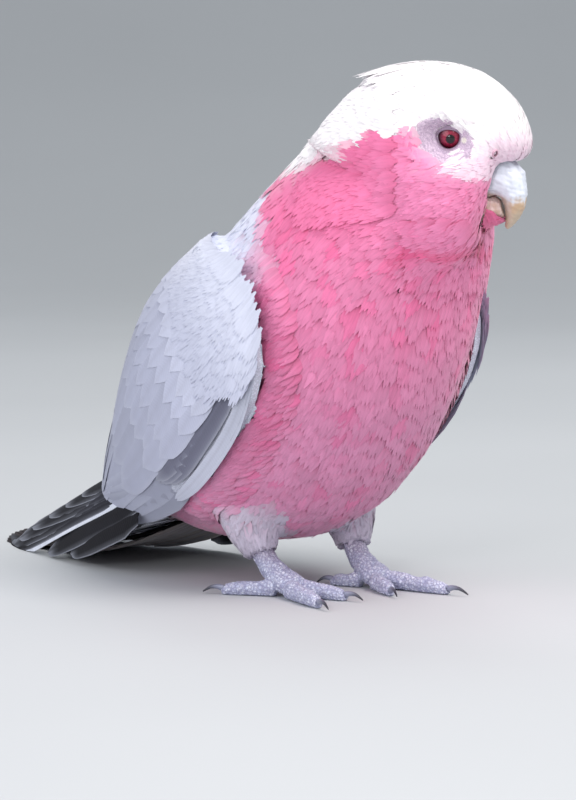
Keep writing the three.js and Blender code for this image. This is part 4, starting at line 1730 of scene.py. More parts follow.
FLAT = {
    "thick_mm": 0.1, "camber_mm": 0.05, "tilt_mm": 0.05, "shaft_mm": 0.06, "shaft_share": 0.1, "vary": 0.02
}
COVERT = VaneStyle(
    rows=10, taper=0.55, belly=0.4, point=0.2, bow=0.34, edge_share=0.14, frayed=0.03, edge="#e9ebf6", **FLAT
)
LONG = VaneStyle(
    rows=13, taper=0.75, belly=0.3, narrow=0.5, bow=0.3, edge="#dcdfec", edge_share=0.24, frayed=0.04, **FLAT
)
DARK = VaneStyle(
    rows=13, taper=0.7, belly=0.3, narrow=0.6, edge="#c9ccda", edge_share=0.5, shaft_tint="#55535f",
    frayed=0.02, **FLAT
)

SMALL = TuftStyle(
    locks=9, fat=2.6, round=0.3, deep="#cdd1e3", deep_share=0.3, root=0.96, vary=0.015,
    lock_mm=0.08, ragged=0.03,
)

WING_ROWS = [
    Row(-22, 82, 14.0, 6.4, 0.06, 1.0, 3.0, -1.35, "#a9acc1", style=LONG),  # secondaries
    Row(-70, 70, 8.0, 3.4, 0.1, 0.27, 2.4, -0.95, "#6f7084", style=DARK),  # primary coverts
    Row(-69, 72, 4.2, 2.0, 0.0, 0.02, 2.4, -0.5, "#c6c9da", style=DARK),  # edge coverts
    Row(-34, 62, 12.5, 5.8, 0.27, 1.0, 2.6, -0.75, "#adb0c5", shorter=0.1, style=LONG),  # greater coverts
    Row(-42, 44, 12.0, 6.0, 0.24, 1.0, 2.3, -0.6, "#b2b5ca", shorter=0.1, style=LONG),  # middle coverts low
    Row(-50, 37, 11.5, 6.0, 0.22, 1.0, 2.0, -0.4, "#b8bbd0", style=COVERT),  # middle coverts mid
    Row(-57, 31, 10.5, 5.6, 0.2, 1.0, 1.8, -0.2, "#c0c3d8", style=COVERT),  # middle coverts high
    Row(-64, 27, 9.5, 5.0, 0.18, 1.0, 1.6, 0.0, "#cbcee2", style=COVERT),  # lesser coverts low
]


@dataclass
class Wing:
    """The folded wings: the vaned feathers in rows, the small coverts over the wrist, the scapulars."""

    flesh: Flesh
    form: WingForm = field(default_factory=WingForm)
    markings: Markings = field(default_factory=Markings)
    lie: BodyMap = field(default_factory=BodyMap)
    bank_mm: float = 4.0  # how high the breast feathers bank up at the wing's front edge
    seed: int = 23

    def row(self, row: Row, seed: int) -> Sheaf:
        """Grows one row on the right wing.

        Args:
            row: The row.
            seed: Sets its small differences.

        Returns:
            The arrays of the row's feathers.
        """
        rng = np.random.default_rng(seed)
        across = self.form.width_at(row.root + 0.5 * row.long)
        count = max(2, int(round(across * (row.last - row.first) / row.gap)) + 1)
        share = np.linspace(row.first, row.last, count) + rng.normal(0, 0.008, count)
        upper = smooth(share, 0.55, 1.0)
        run = row.root + rng.normal(0, 0.9, count)
        lengths = row.long * (1 - row.shorter * upper) * rng.uniform(0.95, 1.05, count)
        path = self.form.lines(run, share, lengths)
        tones = np.tile(tint(row.tone), (count, 1)) * rng.uniform(0.95, 1.05, (count, 1))
        patch = np.stack([np.clip(share, 0, 1), (run + 90) / 170], -1)
        widths = row.wide * rng.uniform(0.97, 1.03, count)
        order = 0.03 * np.arange(count)
        deep, lift = row.depth - order, row.lift + order
        return grow_vanes(path, widths, tones, patch, row.style, deep, lift, seed, 34.0)

    def small_coverts(self) -> Sheaf:
        """Grows the small close feathers of the right wrist, row over row."""
        rng = np.random.default_rng(self.seed + 90)
        sheaves = []
        for number, root in enumerate(np.arange(-62, -97, -2.6)):
            wide = float(np.interp(root, [-95, -60], [4.6, 8.0]))
            count = max(4, int(self.form.width_at(max(root + 8, -80)) * 1.1 / (0.42 * wide)))
            share = np.linspace(0.0, 1.02, count) + rng.normal(0, 0.25 / count, count)
            run = root + rng.uniform(-1.2, 1.2, count)
            held = self.solid.distance(self.form.at_share(run + 0.7 * wide, share)) < 1.0
            held &= share > 0.01 + 0.14 * smooth(np.array(root), -74, -62)
            if not held.any():
                continue
            run, share, count = run[held], share[held], int(held.sum())
            path = self.form.lines(run, share, 2.1 * wide * rng.uniform(0.9, 1.1, count), 4)
            pale = mix(tint("#e2e5f6"), tint("#c8cbdf"), smooth(root, -90, -62))
            patch = np.stack([np.clip(share, 0, 1), (run + 110) / 190], -1)
            high, seed = 0.3 + 0.02 * number, self.seed + number
            sheaves.append(grow_tufts(path, wide, pale, patch, SMALL, 1.0, high, seed))
        return joined(sheaves)

    def scapulars(self) -> Sheaf:
        """Grows the soft grey feathers that come off the back over both wings' upper edges."""

        def wanted(points: Array, normals: Array) -> Array:
            """Keeps to the back beside the wings' upper edges."""
            run, side = self.form.run_of(points), np.abs(points[:, 0])
            high = points[:, 2] > 100 - 0.45 * (run + 96)
            return (side > 7) & (normals[:, 1] + normals[:, 2] > 0.2) & (run > -96) & (run < 10) & high

        def spacing(points: Array) -> Array:
            """A little closer at the shoulder."""
            return np.interp(self.form.run_of(points), [-96, -20], [3.0, 4.4])

        roots, normals = self.flesh.whole.scatter(spacing, wanted, self.seed)
        away = self.solid.distance(roots)
        roots, normals = (values[(away > 0.5) & (away < 13)] for values in (roots, normals))
        gap = spacing(roots)
        outward = np.sign(roots[:, :1]) * np.array([0.2, 0.0, 0.0]) + np.array([0.0, 0.2, 0.0])
        path = self.flesh.whole.walk(roots, self.lie.lie(roots, normals) + outward, 3.8 * gap, 6)
        patch = fill_map(self.lie.unwrap(roots))
        return grow_tufts(path, 2.5 * gap, tint("#d3d8ea"), patch, SMALL, 0.9, 0.35, 5)

    def rose_fringe(self) -> Sheaf:
        """Grows the breast feathers that bank up against both wings' front edges."""

        def wanted(points: Array, normals: Array) -> Array:
            """Keeps to the sides of the breast."""
            run, side = self.form.run_of(points), np.abs(points[:, 0])
            return (side > 18) & (points[:, 1] < 40) & (points[:, 2] < 124) & (run > -116) & (run < 4)

        def spacing(points: Array) -> Array:
            """The same all over."""
            return np.full(len(points), 2.1)

        roots, normals = self.flesh.body.scatter(spacing, wanted, self.seed + 1)
        rim, _ = self.solid.nearest(roots)
        across = rim - roots
        away = np.linalg.norm(across, axis=1)
        near = (away > 0.25) & (away < 12) & (across[:, 1] > 0.1 * away)
        roots, normals, across, away = (values[near] for values in (roots, normals, across, away))
        heading = 0.3 * across / away[:, None] + self.lie.lie(roots, normals)
        path = self.flesh.body.walk(roots, heading, np.full(len(roots), 9.0), 6)
        bank = self.solid.distance(path.points.reshape(-1, 3)).reshape(path.points.shape[:2])
        high = self.bank_mm * smooth(12.0 - bank, 0, 12.0) * smooth(119 - path.points[..., 2], 0, 18)
        path = Path(path.points + path.normals * high[..., None], path.normals, path.lengths)
        tones = self.markings.coat(path.points[:, -1], path.normals[:, -1])
        return grow_tufts(path, 5.4, tones, fill_map(self.lie.unwrap(roots)), TuftStyle(), 0.8, 0.2, 6)

    def build(self) -> None:
        """Grows the right wing's feathers and mirrors them."""
        self.form.build()
        self.solid = Ground.of_form(node_copy("wing_copy", WINGS))
        right = joined([self.row(row, self.seed + k) for k, row in enumerate(WING_ROWS)])
        self.firm = list(mirrored_pair("wing_feathers", right, 0.88).values())
        self.soft = list(mirrored_pair("wrist_coverts", self.small_coverts(), 0.9).values())
        self.soft.append(feather_mesh("scapulars", self.scapulars(), 0.9))
        self.rose = feather_mesh("wing_fringe", self.rose_fringe(), 0.88)

    def dress(self) -> None:
        """Finishes the wings."""
        for pieces, made in (
            (self.firm, QuillFinish("hooked_grey_vane").material()),
            (self.soft, CoatFinish("small_covert", streak=0.05).material()),
        ):
            for piece in pieces:
                finish_piece(piece, made)
        finish_piece(self.rose, CoatFinish("rose_fringe_down", streak=0.12).material())


@dataclass
class LongSheet:
    """A stack of long feathers laid along a line, as a ground to lay them on."""

    line: tuple[tuple[float, float, float], ...]
    half: tuple[float, ...]
    roll: tuple[float, ...]
    arch: float

    def at(self, t: Array, u: Array, lift: float = 0.0) -> Array:
        """Finds points by share along the line and share of the half width across it.

        Args:
            t: Shares along the line.
            u: Shares of the half width.
            lift: How far over the sheet, in millimetres.

        Returns:
            The points in millimetres.
        """
        place, ahead, side, up = frame_on(self.line, t)
        turn = np.radians(spline(np.array(self.roll), t))[..., None]
        rolled = side * np.cos(turn) + up * np.sin(turn)
        up = np.cross(rolled, ahead)
        half = spline(np.array(self.half), t)
        return place + rolled * (u * half)[..., None] + up * (lift - self.arch * u**2)[..., None]

    def ground(self) -> Ground:
        """Makes a ground a little wider than the sheet."""
        t, u = np.meshgrid(np.linspace(0, 1, 70), np.linspace(-1.5, 1.5, 31), indexing="ij")
        return Ground.of_grid(self.at(t, u))


PRIMARY = VaneStyle(
    rows=16, narrow=0.5, belly=0.2, taper=0.45, point=0.12, thick_mm=0.3, camber_mm=0.6, tilt_mm=0.25,
    edge="#c9cddb", edge_share=0.6, edge_side=-1.0, edge_power=14.0, shaft_tint="#1d1b20", frayed=0.02,
    bow=0.1, end_share=0.9, end_tint="#1d1c21", columns=(-1.0, -0.9, -0.6, -0.3, -0.05, 0.05, 0.5, 1.0),
)
TAIL_VANE = VaneStyle(
    rows=15, narrow=0.45, belly=0.25, taper=0.86, point=0.3, thick_mm=0.28, camber_mm=0.35, tilt_mm=0.2,
    edge="#4d464c", edge_share=0.2, shaft_tint="#16100f", frayed=0.04, bow=0.2, root=1.0,
)


@dataclass
class Primaries:
    """The long flight feathers of each folded wing, stacked with their tips stepped."""

    sheet: LongSheet = field(
        default_factory=lambda: LongSheet(
            ((-24, 74, 34), (-23, 104, 23.5), (-19, 134, 15.5), (-13, 163, 10.5), (-8.5, 187, 7.4)),
            (15, 15.5, 13, 8.5, 2.5),
            (50, 48, 42, 30, 20),
            2.5,
        )
    )
    long: tuple[float, ...] = (0.4, 0.56, 1.0, 0.965, 0.915, 0.86, 0.79, 0.71, 0.62, 0.53, 0.44)
    across: tuple[float, ...] = (-1.05, -0.7, -0.1, -0.2, -0.12, -0.02, 0.08, 0.18, 0.3, 0.4, 0.5)
    wide: tuple[float, ...] = (12, 12, 11.5, 11.5, 11.5, 12, 12, 12.5, 13, 13, 13)
    seed: int = 61

    def build(self) -> None:
        """Grows the right stack and mirrors it."""
        ground = self.sheet.ground()
        count = len(self.long)
        across = np.array(self.across)
        roots = self.sheet.at(np.full(count, 0.0), across)
        headings = self.sheet.at(np.full(count, 0.1), across) - roots
        whole = np.linalg.norm(np.diff(np.array(self.sheet.line, float), axis=0), axis=1).sum()
        path = ground.walk(roots, headings, whole * np.array(self.long), 14)
        share = np.linspace(0, 1, count)
        tones = mix(tint("#1f1e24"), tint("#3d3d48"), share)
        lift = -1.5 + 0.3 * np.arange(count)
        patch = np.stack([share, 0.5 + 0.45 * np.cos(np.arange(count) * 2.4)], -1)
        deep = 1.0 - 0.2 * np.arange(count)
        # Two primaries take a near-white band on the outer web: a paler web with painted glare on it.
        web_glare = replace(PRIMARY, strip=0.5, strip_tint="#dfe3ef", edge_share=0.2)
        sheaves = []
        for part, look in ((slice(0, 2), PRIMARY), (slice(2, 4), web_glare), (slice(4, None), PRIMARY)):
            values = (np.array(self.wide)[part], tones[part], patch[part], look, deep[part], lift[part])
            sheaves.append(grow_vanes(path.only(part), *values, self.seed, 40.0))
        self.pieces = mirrored_pair("flight_feathers", joined(sheaves), 0.5)

    def dress(self) -> None:
        """Finishes both stacks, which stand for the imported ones."""
        firm = QuillFinish("stiff_flight_vane", roughness=0.5, line=0.14, gloss=0.14, sheen=0.0).material()
        for side, piece in self.pieces.items():
            finish_piece(piece, firm)
            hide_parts(f"primaries_{side.word}")


# The tail's coverts, row by row: where each starts along the tail, its length and width, and its colour.
OVER_TAIL = (
    (0.3, 36, 11.0, "#9a9cac"), (0.2, 34, 11.0, "#a9abbb"),
    (0.1, 30, 10.0, "#b8bac8"), (0.02, 26, 9.0, "#c4c6d2"),
)
UNDER_TAIL = (
    (0.0, 30, 9.0, "#6d6462"), (0.08, 34, 9.5, "#7b7370"),
    (0.16, 36, 10.0, "#8a7f80"), (0.25, 38, 11.0, "#a3949a"),
)


@dataclass
class Tail:
    """Twelve tail feathers, with the grey coverts over their roots and the brown ones under them."""

    sheet: LongSheet = field(
        default_factory=lambda: LongSheet(
            ((0, 62, 22), (0, 90, 12.5), (0, 120, 6), (0, 150, 2.8), (0, 186, 1.5)),
            (13, 16, 18, 19.5, 19),
            (0, 0, 0, 0, 0),
            1.4,
        )
    )
    pairs: int = 6
    seed: int = 83

    def feathers(self) -> Sheaf:
        """Grows the tail feathers, the middle pair on top."""
        ground = self.sheet.ground()
        k = np.repeat(np.arange(self.pairs), 2)
        sign = np.tile([-1.0, 1.0], self.pairs)
        across = sign * (0.1 + 0.115 * k)
        roots = self.sheet.at(np.full(len(k), 0.02), across * 0.8)
        headings = self.sheet.at(np.full(len(k), 1.0), across * 0.98) - roots
        lengths = 126.0 - 9.0 * across**2 * 1.3
        path = ground.walk(roots, headings, lengths, 14)
        patch = np.stack([0.5 + 0.45 * across, 0.1 + 0.15 * k], -1)
        deep, lift = 0.3 * k - 0.6, 1.1 - 0.36 * k
        return grow_vanes(path, 14.5, tint("#2e2727"), patch, TAIL_VANE, deep, lift, self.seed, 120.0)

    def coverts(self, lift: float, turned: bool) -> Sheaf:
        """Grows the coverts over or under the tail's root.

        Args:
            lift: How far over the tail's middle they lie, in millimetres.
            turned: Whether they face down.

        Returns:
            The arrays of all the feathers.
        """
        rng = np.random.default_rng(self.seed + turned)
        rows = UNDER_TAIL if turned else OVER_TAIL
        edge = "#b9aeb0" if turned else "#dadbe4"
        look = VaneStyle(rows=7, taper=0.5, belly=0.4, edge=edge, edge_share=0.35, frayed=0.06)
        sheaves = []
        t, u = np.meshgrid(np.linspace(0, 1, 60), np.linspace(-1.5, 1.5, 31), indexing="ij")
        grid = self.sheet.at(t, u, lift)
        ground = Ground.of_grid(grid[:, ::-1] if turned else grid)
        for order, (start, long, wide, code) in enumerate(rows):
            across = np.linspace(-0.85, 0.85, 6) + rng.normal(0, 0.03, 6)
            roots = self.sheet.at(np.full(6, start), across, lift)
            headings = self.sheet.at(np.full(6, start + 0.2), across, lift) - roots
            path = ground.walk(roots, headings, long * rng.uniform(0.93, 1.07, 6), 6)
            tones = np.tile(tint(code), (6, 1)) * rng.uniform(0.92, 1.06, (6, 1))
            patch = np.stack([0.5 + 0.45 * across, np.full(6, 0.2 + 0.18 * order)], -1)
            high, seed = 0.2 + 0.35 * order, self.seed + order
            sheaves.append(grow_vanes(path, wide, tones, patch, look, 0.8, high, seed, 60.0))
        return joined(sheaves)

    def build(self) -> None:
        """Makes the three pieces of the tail."""
        pieces = {
            "tail_feathers": self.feathers(),
            "upper_tail_coverts": self.coverts(1.8, False),
            "under_tail_coverts": self.coverts(-1.8, True),
        }
        self.pieces = {}
        for name, sheaf in pieces.items():
            sheaf.patch = fill_map(sheaf.patch)
            self.pieces[name] = feather_mesh(name, above_floor(sheaf), 0.5)

    def dress(self) -> None:
        """Finishes the tail."""
        dark = QuillFinish("dark_tail_vane", roughness=0.5, line=0.16, gloss=0.14, sheen=0.0).material()
        soft = QuillFinish("tail_covert_vane", roughness=0.7).material()
        for name, piece in self.pieces.items():
            made, slot = (dark, Slot.QUILL) if name == "tail_feathers" else (soft, Slot.GREY)
            finish_piece(piece, made)
        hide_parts("tail")


# ---------------------------------------------------------------- head


NOSTRIL_SPOKES = 28  # points round each ring of a nostril


@dataclass
class EyeRegion:
    """One eye with its lids and the bare wrinkled skin round it."""

    side: Side
    coat: BodyCoat
    globe_mm: float = 4.8
    at: tuple[float, float, float] = (-1.8, 12.3, 0.4)
    lid_mm: float = 3.4
    upper_mm: float = 1.9
    lower_mm: float = 3.9
    pupil_mm: float = 1.5
    rings: int = 30
    spokes: int = 84
    skin_tint: str = "#dcc6da"
    # fold_tint is painted shade in the troughs of the skin's folds
    fold_tint: str = "#b9a3bc"
    lid_tint: str = "#a08aa0"

    def centre(self) -> Array:
        """The middle of the globe in the head's frame."""
        x, y, z = self.at
        return np.array([x, y * self.side.value, z])

    def surround(self) -> bpy.types.Object:
        """Makes the bare skin: lids that hug the globe, then folds that ring it, out under the feathers."""
        round_it = np.linspace(0, 2 * math.pi, self.spokes, endpoint=False)
        ring, turn = np.meshgrid(np.linspace(0, 1, self.rings), round_it, indexing="ij")
        coat, centre = self.coat, self.centre()
        c, s = math.cos(coat.patch_slant), math.sin(coat.patch_slant)
        ex, ez = (coat.eye_patch[0] + 3.2) * np.cos(turn), (coat.eye_patch[1] + 3.2) * np.sin(turn)
        out_x = coat.patch_at[0] + c * ex - s * ez
        out_z = coat.patch_at[1] + s * ex + c * ez
        lid_x = centre[0] + self.lid_mm * np.cos(turn)
        lid_z = centre[2] + np.where(np.sin(turn) > 0, self.upper_mm, self.lower_mm) * np.sin(turn)
        x, z = lid_x + (out_x - lid_x) * ring, lid_z + (out_z - lid_z) * ring
        inward = way_from_head(np.array([0.0, -self.side.value, 0.0]))
        starts = from_head(np.stack([x, np.full_like(x, 45.0 * self.side.value), z], -1)).reshape(-1, 3)
        depth = np.empty(len(starts))
        for i, start in enumerate(starts):
            hit = coat.flesh.body.tree.ray_cast(Vector(start), Vector(inward), 60.0)
            depth[i] = 45.0 - (hit[3] if hit[0] is not None else 30.0)
        depth = depth.reshape(x.shape)
        away, rim = np.hypot(x - centre[0], z - centre[2]), np.hypot(x - lid_x, z - lid_z)
        globe = abs(centre[1]) + np.sqrt(np.clip(self.globe_mm**2 - away**2, 0, None))
        near = smooth(6.4 - away, 0, 2.4)
        level = depth + 0.15
        level = level * (1 - near) + np.maximum(level, globe + 0.12) * near
        lid = 0.42 * np.exp(-(((rim - 0.7) / 0.55) ** 2)) - 0.2 * np.exp(-(((rim - 1.9) / 0.5) ** 2))
        place = np.stack([x, z, np.zeros_like(x)], -1)
        folds = np.sin((rim + 1.1 * wobble(place, 1.9)) * 2 * math.pi / 1.1)
        grain = wobble(place, 0.7) * wobble(place + 5.0, 0.9)
        fade = smooth(ring, 0.16, 0.34) * smooth(1 - ring, 0.0, 0.12)
        level = level + lid + (0.05 * folds + 0.12 * grain) * fade - 0.6 * smooth(ring, 0.6, 0.9)
        top = np.stack([x, self.side.value * level, z], -1)
        low = top - np.array([0, self.side.value * 1.2, 0])
        # Darker in the troughs of the folds and grain: painted shade in the creases.
        own = mix(tint(self.fold_tint), tint(self.skin_tint), smooth(0.6 * folds + 0.6 * grain, -0.9, 0.6))
        own = mix(own, tint(self.lid_tint), smooth(1.5 - rim, 0, 0.8))
        own = mix(own, tint("#5d3f52"), smooth(0.3 - rim, 0, 0.3))
        corner = np.hypot(x - 3.3, z + 0.9)
        own = mix(own, tint("#f3ece0"), smooth(1.25 - corner, 0, 0.7))
        own = mix(own, tint("#e9cbd9"), 0.6 * smooth(ring, 0.72, 1.0))
        points = np.concatenate([from_head(top).reshape(-1, 3), from_head(low).reshape(-1, 3)])
        number = np.arange(x.size).reshape(x.shape)
        after = np.roll(number, -1, 1)
        under = x.size
        faces = [
            np.stack([number[:-1], number[1:], after[1:], after[:-1]], -1).reshape(-1, 4),
            np.stack([number[:-1], after[:-1], after[1:], number[1:]], -1).reshape(-1, 4) + under,
            np.stack([number[0], after[0], after[0] + under, number[0] + under], -1),
            np.stack([number[-1], number[-1] + under, after[-1] + under, after[-1]], -1),
        ]
        quads = np.concatenate(faces)
        if self.side is Side.LEFT:
            quads = quads[:, ::-1]
        # The lower layer is the same skin painted darker, as shade.
        colours = np.concatenate([own.reshape(-1, 3), own.reshape(-1, 3) * 0.8])
        sheaf = Sheaf(points, quads, np.zeros((0, 3), int), colours)
        return feather_mesh(f"eye_skin_{self.side.word}", sheaf)

    def globe(self) -> bpy.types.Object:
        """Makes the globe, with a cornea that stands out a little over pupil and iris."""
        bpy.ops.mesh.primitive_uv_sphere_add(
            segments=96, ring_count=64, radius=self.globe_mm * MM, location=(0, 0, 0)
        )
        piece = bpy.context.active_object
        piece.name = f"eyeball_{self.side.word}"
        mesh = piece.data
        local = vectors_of(mesh.vertices, "co") / MM
        gaze = unit(np.array([0.14, self.side.value, -0.2]))
        forward = local @ gaze
        off = np.linalg.norm(local - forward[:, None] * gaze, axis=1)
        front = forward > 0
        bulge = 0.35 * smooth(3.0 - off, 0, 2.4) * front
        angle = np.arctan2(local[:, 2], local[:, 0])
        iris = mix(tint("#5c0f2a"), tint("#96233f"), smooth(off, 3.4, 1.9))
        iris = mix(iris, tint("#4a0a1e"), smooth(off, 2.9, 3.4))
        iris = iris * (1 + 0.18 * np.sin(angle * 23 + 2 * np.sin(angle * 7)))[:, None]
        own = mix(tint("#0b070a"), iris, smooth(off, self.pupil_mm - 0.12, self.pupil_mm + 0.12))
        own = mix(own, tint("#2a1018"), smooth(off, 3.3, 3.7))
        own = np.where(front[:, None], own, tint("#2a1018"))
        set_coordinates(mesh, from_head(local + gaze * bulge[:, None] + self.centre()))
        store_tint(mesh, own)
        shade_smooth(mesh)
        return piece

    def nostril(self) -> bpy.types.Object:
        """Makes the small open nostril, ringed with pink skin, among the feathers over the bill."""
        x, z = 12.6, -5.0
        start = from_head(np.array([x, 40.0 * self.side.value, z]))
        inward = way_from_head(np.array([0.0, -self.side.value, 0.0]))
        place, normal, _, _ = self.coat.flesh.body.tree.ray_cast(Vector(start), Vector(inward), 60.0)
        outward = np.array(normal)
        across = flatten(np.array([0.0, 0.0, 1.0]), outward)
        other = np.cross(outward, across)
        profile = np.array(
            [(1.25, -0.9), (1.2, 0.05), (0.98, 0.32), (0.74, 0.2), (0.62, -0.15), (0.3, -0.38), (0.02, -0.42)]
        )
        turn = np.linspace(0, 2 * math.pi, NOSTRIL_SPOKES, endpoint=False)
        arm = np.cos(turn)[:, None] * across * 1.1 + np.sin(turn)[:, None] * other * 0.9
        rows = [np.array(place) + arm * r + outward * (h + 0.25) for r, h in profile]
        points = np.concatenate(rows + [np.array([np.array(place) - outward * 1.2])])
        number = np.arange(len(profile) * NOSTRIL_SPOKES).reshape(-1, NOSTRIL_SPOKES)
        after = np.roll(number, -1, 1)
        quads = np.stack([number[:-1], after[:-1], after[1:], number[1:]], -1).reshape(-1, 4)
        hub = len(points) - 1
        triangles = np.array([(number[0][k], hub, after[0][k]) for k in range(NOSTRIL_SPOKES)])
        last = number[-1]
        inner = np.array([(last[0], last[k + 1], last[k]) for k in range(1, NOSTRIL_SPOKES - 1)])
        # The colours darken down into the hole: painted shade of the nostril's hollow.
        shade = [tint("#d9b0c2")] * 3 + [tint("#a77689"), tint("#4c2c3a"), tint("#1f1218"), tint("#1f1218")]
        own = np.concatenate([np.tile(code, (NOSTRIL_SPOKES, 1)) for code in shade] + [tint("#d9b0c2")[None]])
        sheaf = Sheaf(points, quads, np.concatenate([triangles, inner]), own)
        piece = feather_mesh(f"nostril_{self.side.word}", sheaf)
        pick(piece)
        bpy.ops.object.mode_set(mode="EDIT")
        bpy.ops.mesh.select_all(action="SELECT")
        bpy.ops.mesh.normals_make_consistent(inside=False)
        bpy.ops.object.mode_set(mode="OBJECT")
        return piece

    def build(self) -> None:
        """Makes the eye's pieces."""
        self.eyeball = self.globe()
        self.eye_skin = self.surround()
        self.nose = self.nostril()

    def dress(self, skin: bpy.types.Material, wet: bpy.types.Material) -> None:
        """Finishes the eye's pieces."""
        finish_piece(self.eyeball, wet)
        finish_piece(self.eye_skin, skin)
        finish_piece(self.nose, skin)
        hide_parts(f"eye_{self.side.word}")


@dataclass
class Bill:
    """Both halves of the bill: blue-white horn, worn to tan along the biting edges and at the hook."""

    def build(self) -> None:
        """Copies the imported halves, rounds them and colours them by place."""
        self.pieces = {}
        for half in ("upper", "lower"):
            piece = node_copy(f"bill_{half}_horn", [f"bill_{half}"])
            remesh(piece, 0.32, 9)
            mesh = piece.data
            points, normals = coordinates(mesh), normals_of(mesh)
            head = to_head(points)
            x, z = head[:, 0], head[:, 2]
            rough = 0.6 * wobble(points, 2.6) + 0.4 * wobble(points, 1.1)
            if half == "upper":
                lines = 0.05 * np.sin((z + 0.35 * x + 0.5 * rough) * 2 * math.pi / 1.7)
                chips = -0.1 * smooth(wobble(points, 0.9), 0.4, 1.0) * smooth(-z, 20, 26)
                own = mix(tint("#e9eefa"), tint("#dbe0ec"), smooth(rough, -0.2, 0.8))
                worn = smooth(-z + 1.6 * rough, 18.8, 21.8)
                own = mix(own, tint("#c99f6c"), 0.85 * worn * smooth(x, 13.0, 17.0))
                own = mix(own, tint("#c4b29d"), 0.8 * smooth(-z + 1.2 * rough, 22.5, 26.0))
                biting = smooth(-z - 0.35 * x, 13.5, 15.3) * smooth(16.5 - x, 0, 2.5)
                own = mix(own, tint("#b89c80"), 0.75 * biting)
            else:
                lines = 0.04 * np.sin((x + 0.5 * rough) * 2 * math.pi / 1.2)
                chips = -0.06 * smooth(wobble(points, 0.8), 0.5, 1.0)
                own = mix(tint("#d8bdb8"), tint("#c4a496"), smooth(rough, -0.5, 0.6))
                own = mix(own, tint("#e0cfc0"), smooth(x, 12.0, 15.0))
            set_coordinates(mesh, points + normals * (lines + chips)[:, None])
            store_tint(mesh, own)
            shade_smooth(mesh)
            self.pieces[half] = piece

    def dress(self, horn: bpy.types.Material) -> None:
        """Finishes both halves."""
        for half, piece in self.pieces.items():
            finish_piece(piece, horn)
            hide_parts(f"bill_{half}")


# ---------------------------------------------------------------- feet

TOES = ["inner_front", "outer_front", "inner_rear", "outer_rear"]


@dataclass
class Foot:
    """One foot: scaly skin over the tarsus and toes, and four claws."""

    side: Side
    voxel_mm: float = 0.42
    grain_mm: float = 1.25
    raised_mm: float = 0.17
    skin_tint: str = "#eef2ff"

    def build(self) -> None:
        """Draws the foot's solids into one skin with raised grains, and rounds the claws."""
        nodes = [f"tarsus_{self.side.word}"] + [f"toe_{name}_{self.side.word}" for name in TOES]
        piece = node_copy(f"foot_skin_{self.side.word}", nodes, 0.3)
        remesh(piece, self.voxel_mm, 6)
        mesh = piece.data
        points, normals = coordinates(mesh), normals_of(mesh)
        grain = np.empty(len(points))
        for i, point in enumerate(points):
            nearest, _ = noise.voronoi(Vector(point) / self.grain_mm)
            grain[i] = nearest[1] - nearest[0]
        dome = smooth(grain, 0.02, 0.45)
        lumps = 0.22 * wobble(points, 3.6) * smooth(points[:, 2], 1.0, 4.0)
        creases = -0.16 * smooth(wobble(points * np.array([1.0, 1.0, 0.3]), 1.9), 0.55, 0.95)
        lift = self.raised_mm * (dome - 0.5) + lumps + creases - 0.12
        moved = points + normals * lift[:, None]
        moved[:, 2] = np.maximum(moved[:, 2], SOLE_GAP)
        set_coordinates(mesh, moved)
        own = mix(tint("#c3c8e2"), tint(self.skin_tint), dome)
        own = mix(own, tint("#d8c3cf"), 0.5 * smooth(points[:, 2], 9.0, 15.0))
        store_tint(mesh, own)
        shade_smooth(mesh)
        self.skin, self.covers = piece, nodes
        self.claws = []
        skin = Ground.of_piece(piece)
        for name in TOES:
            claw = node_copy(f"claw_horn_{name}_{self.side.word}", [f"claw_{name}_{self.side.word}"])
            modify(claw, "SUBSURF", levels=2, render_levels=2)
            places = coordinates(claw.data)
            places[:, 2] = np.maximum(places[:, 2], SOLE_GAP)
            set_coordinates(claw.data, places)
            far = skin.distance(places)
            share = smooth(far, 0.5, 0.85 * far.max())
            store_tint(claw.data, mix(tint("#8f92a8"), tint("#34333c"), share))
            shade_smooth(claw.data)
            self.claws.append((claw, f"claw_{name}_{self.side.word}"))

    def dress(self, scale: bpy.types.Material, horn: bpy.types.Material) -> None:
        """Finishes the foot."""
        finish_piece(self.skin, scale)
        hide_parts(*self.covers)
        for claw, node in self.claws:
            finish_piece(claw, horn)
            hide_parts(node)


# ---------------------------------------------------------------- studio


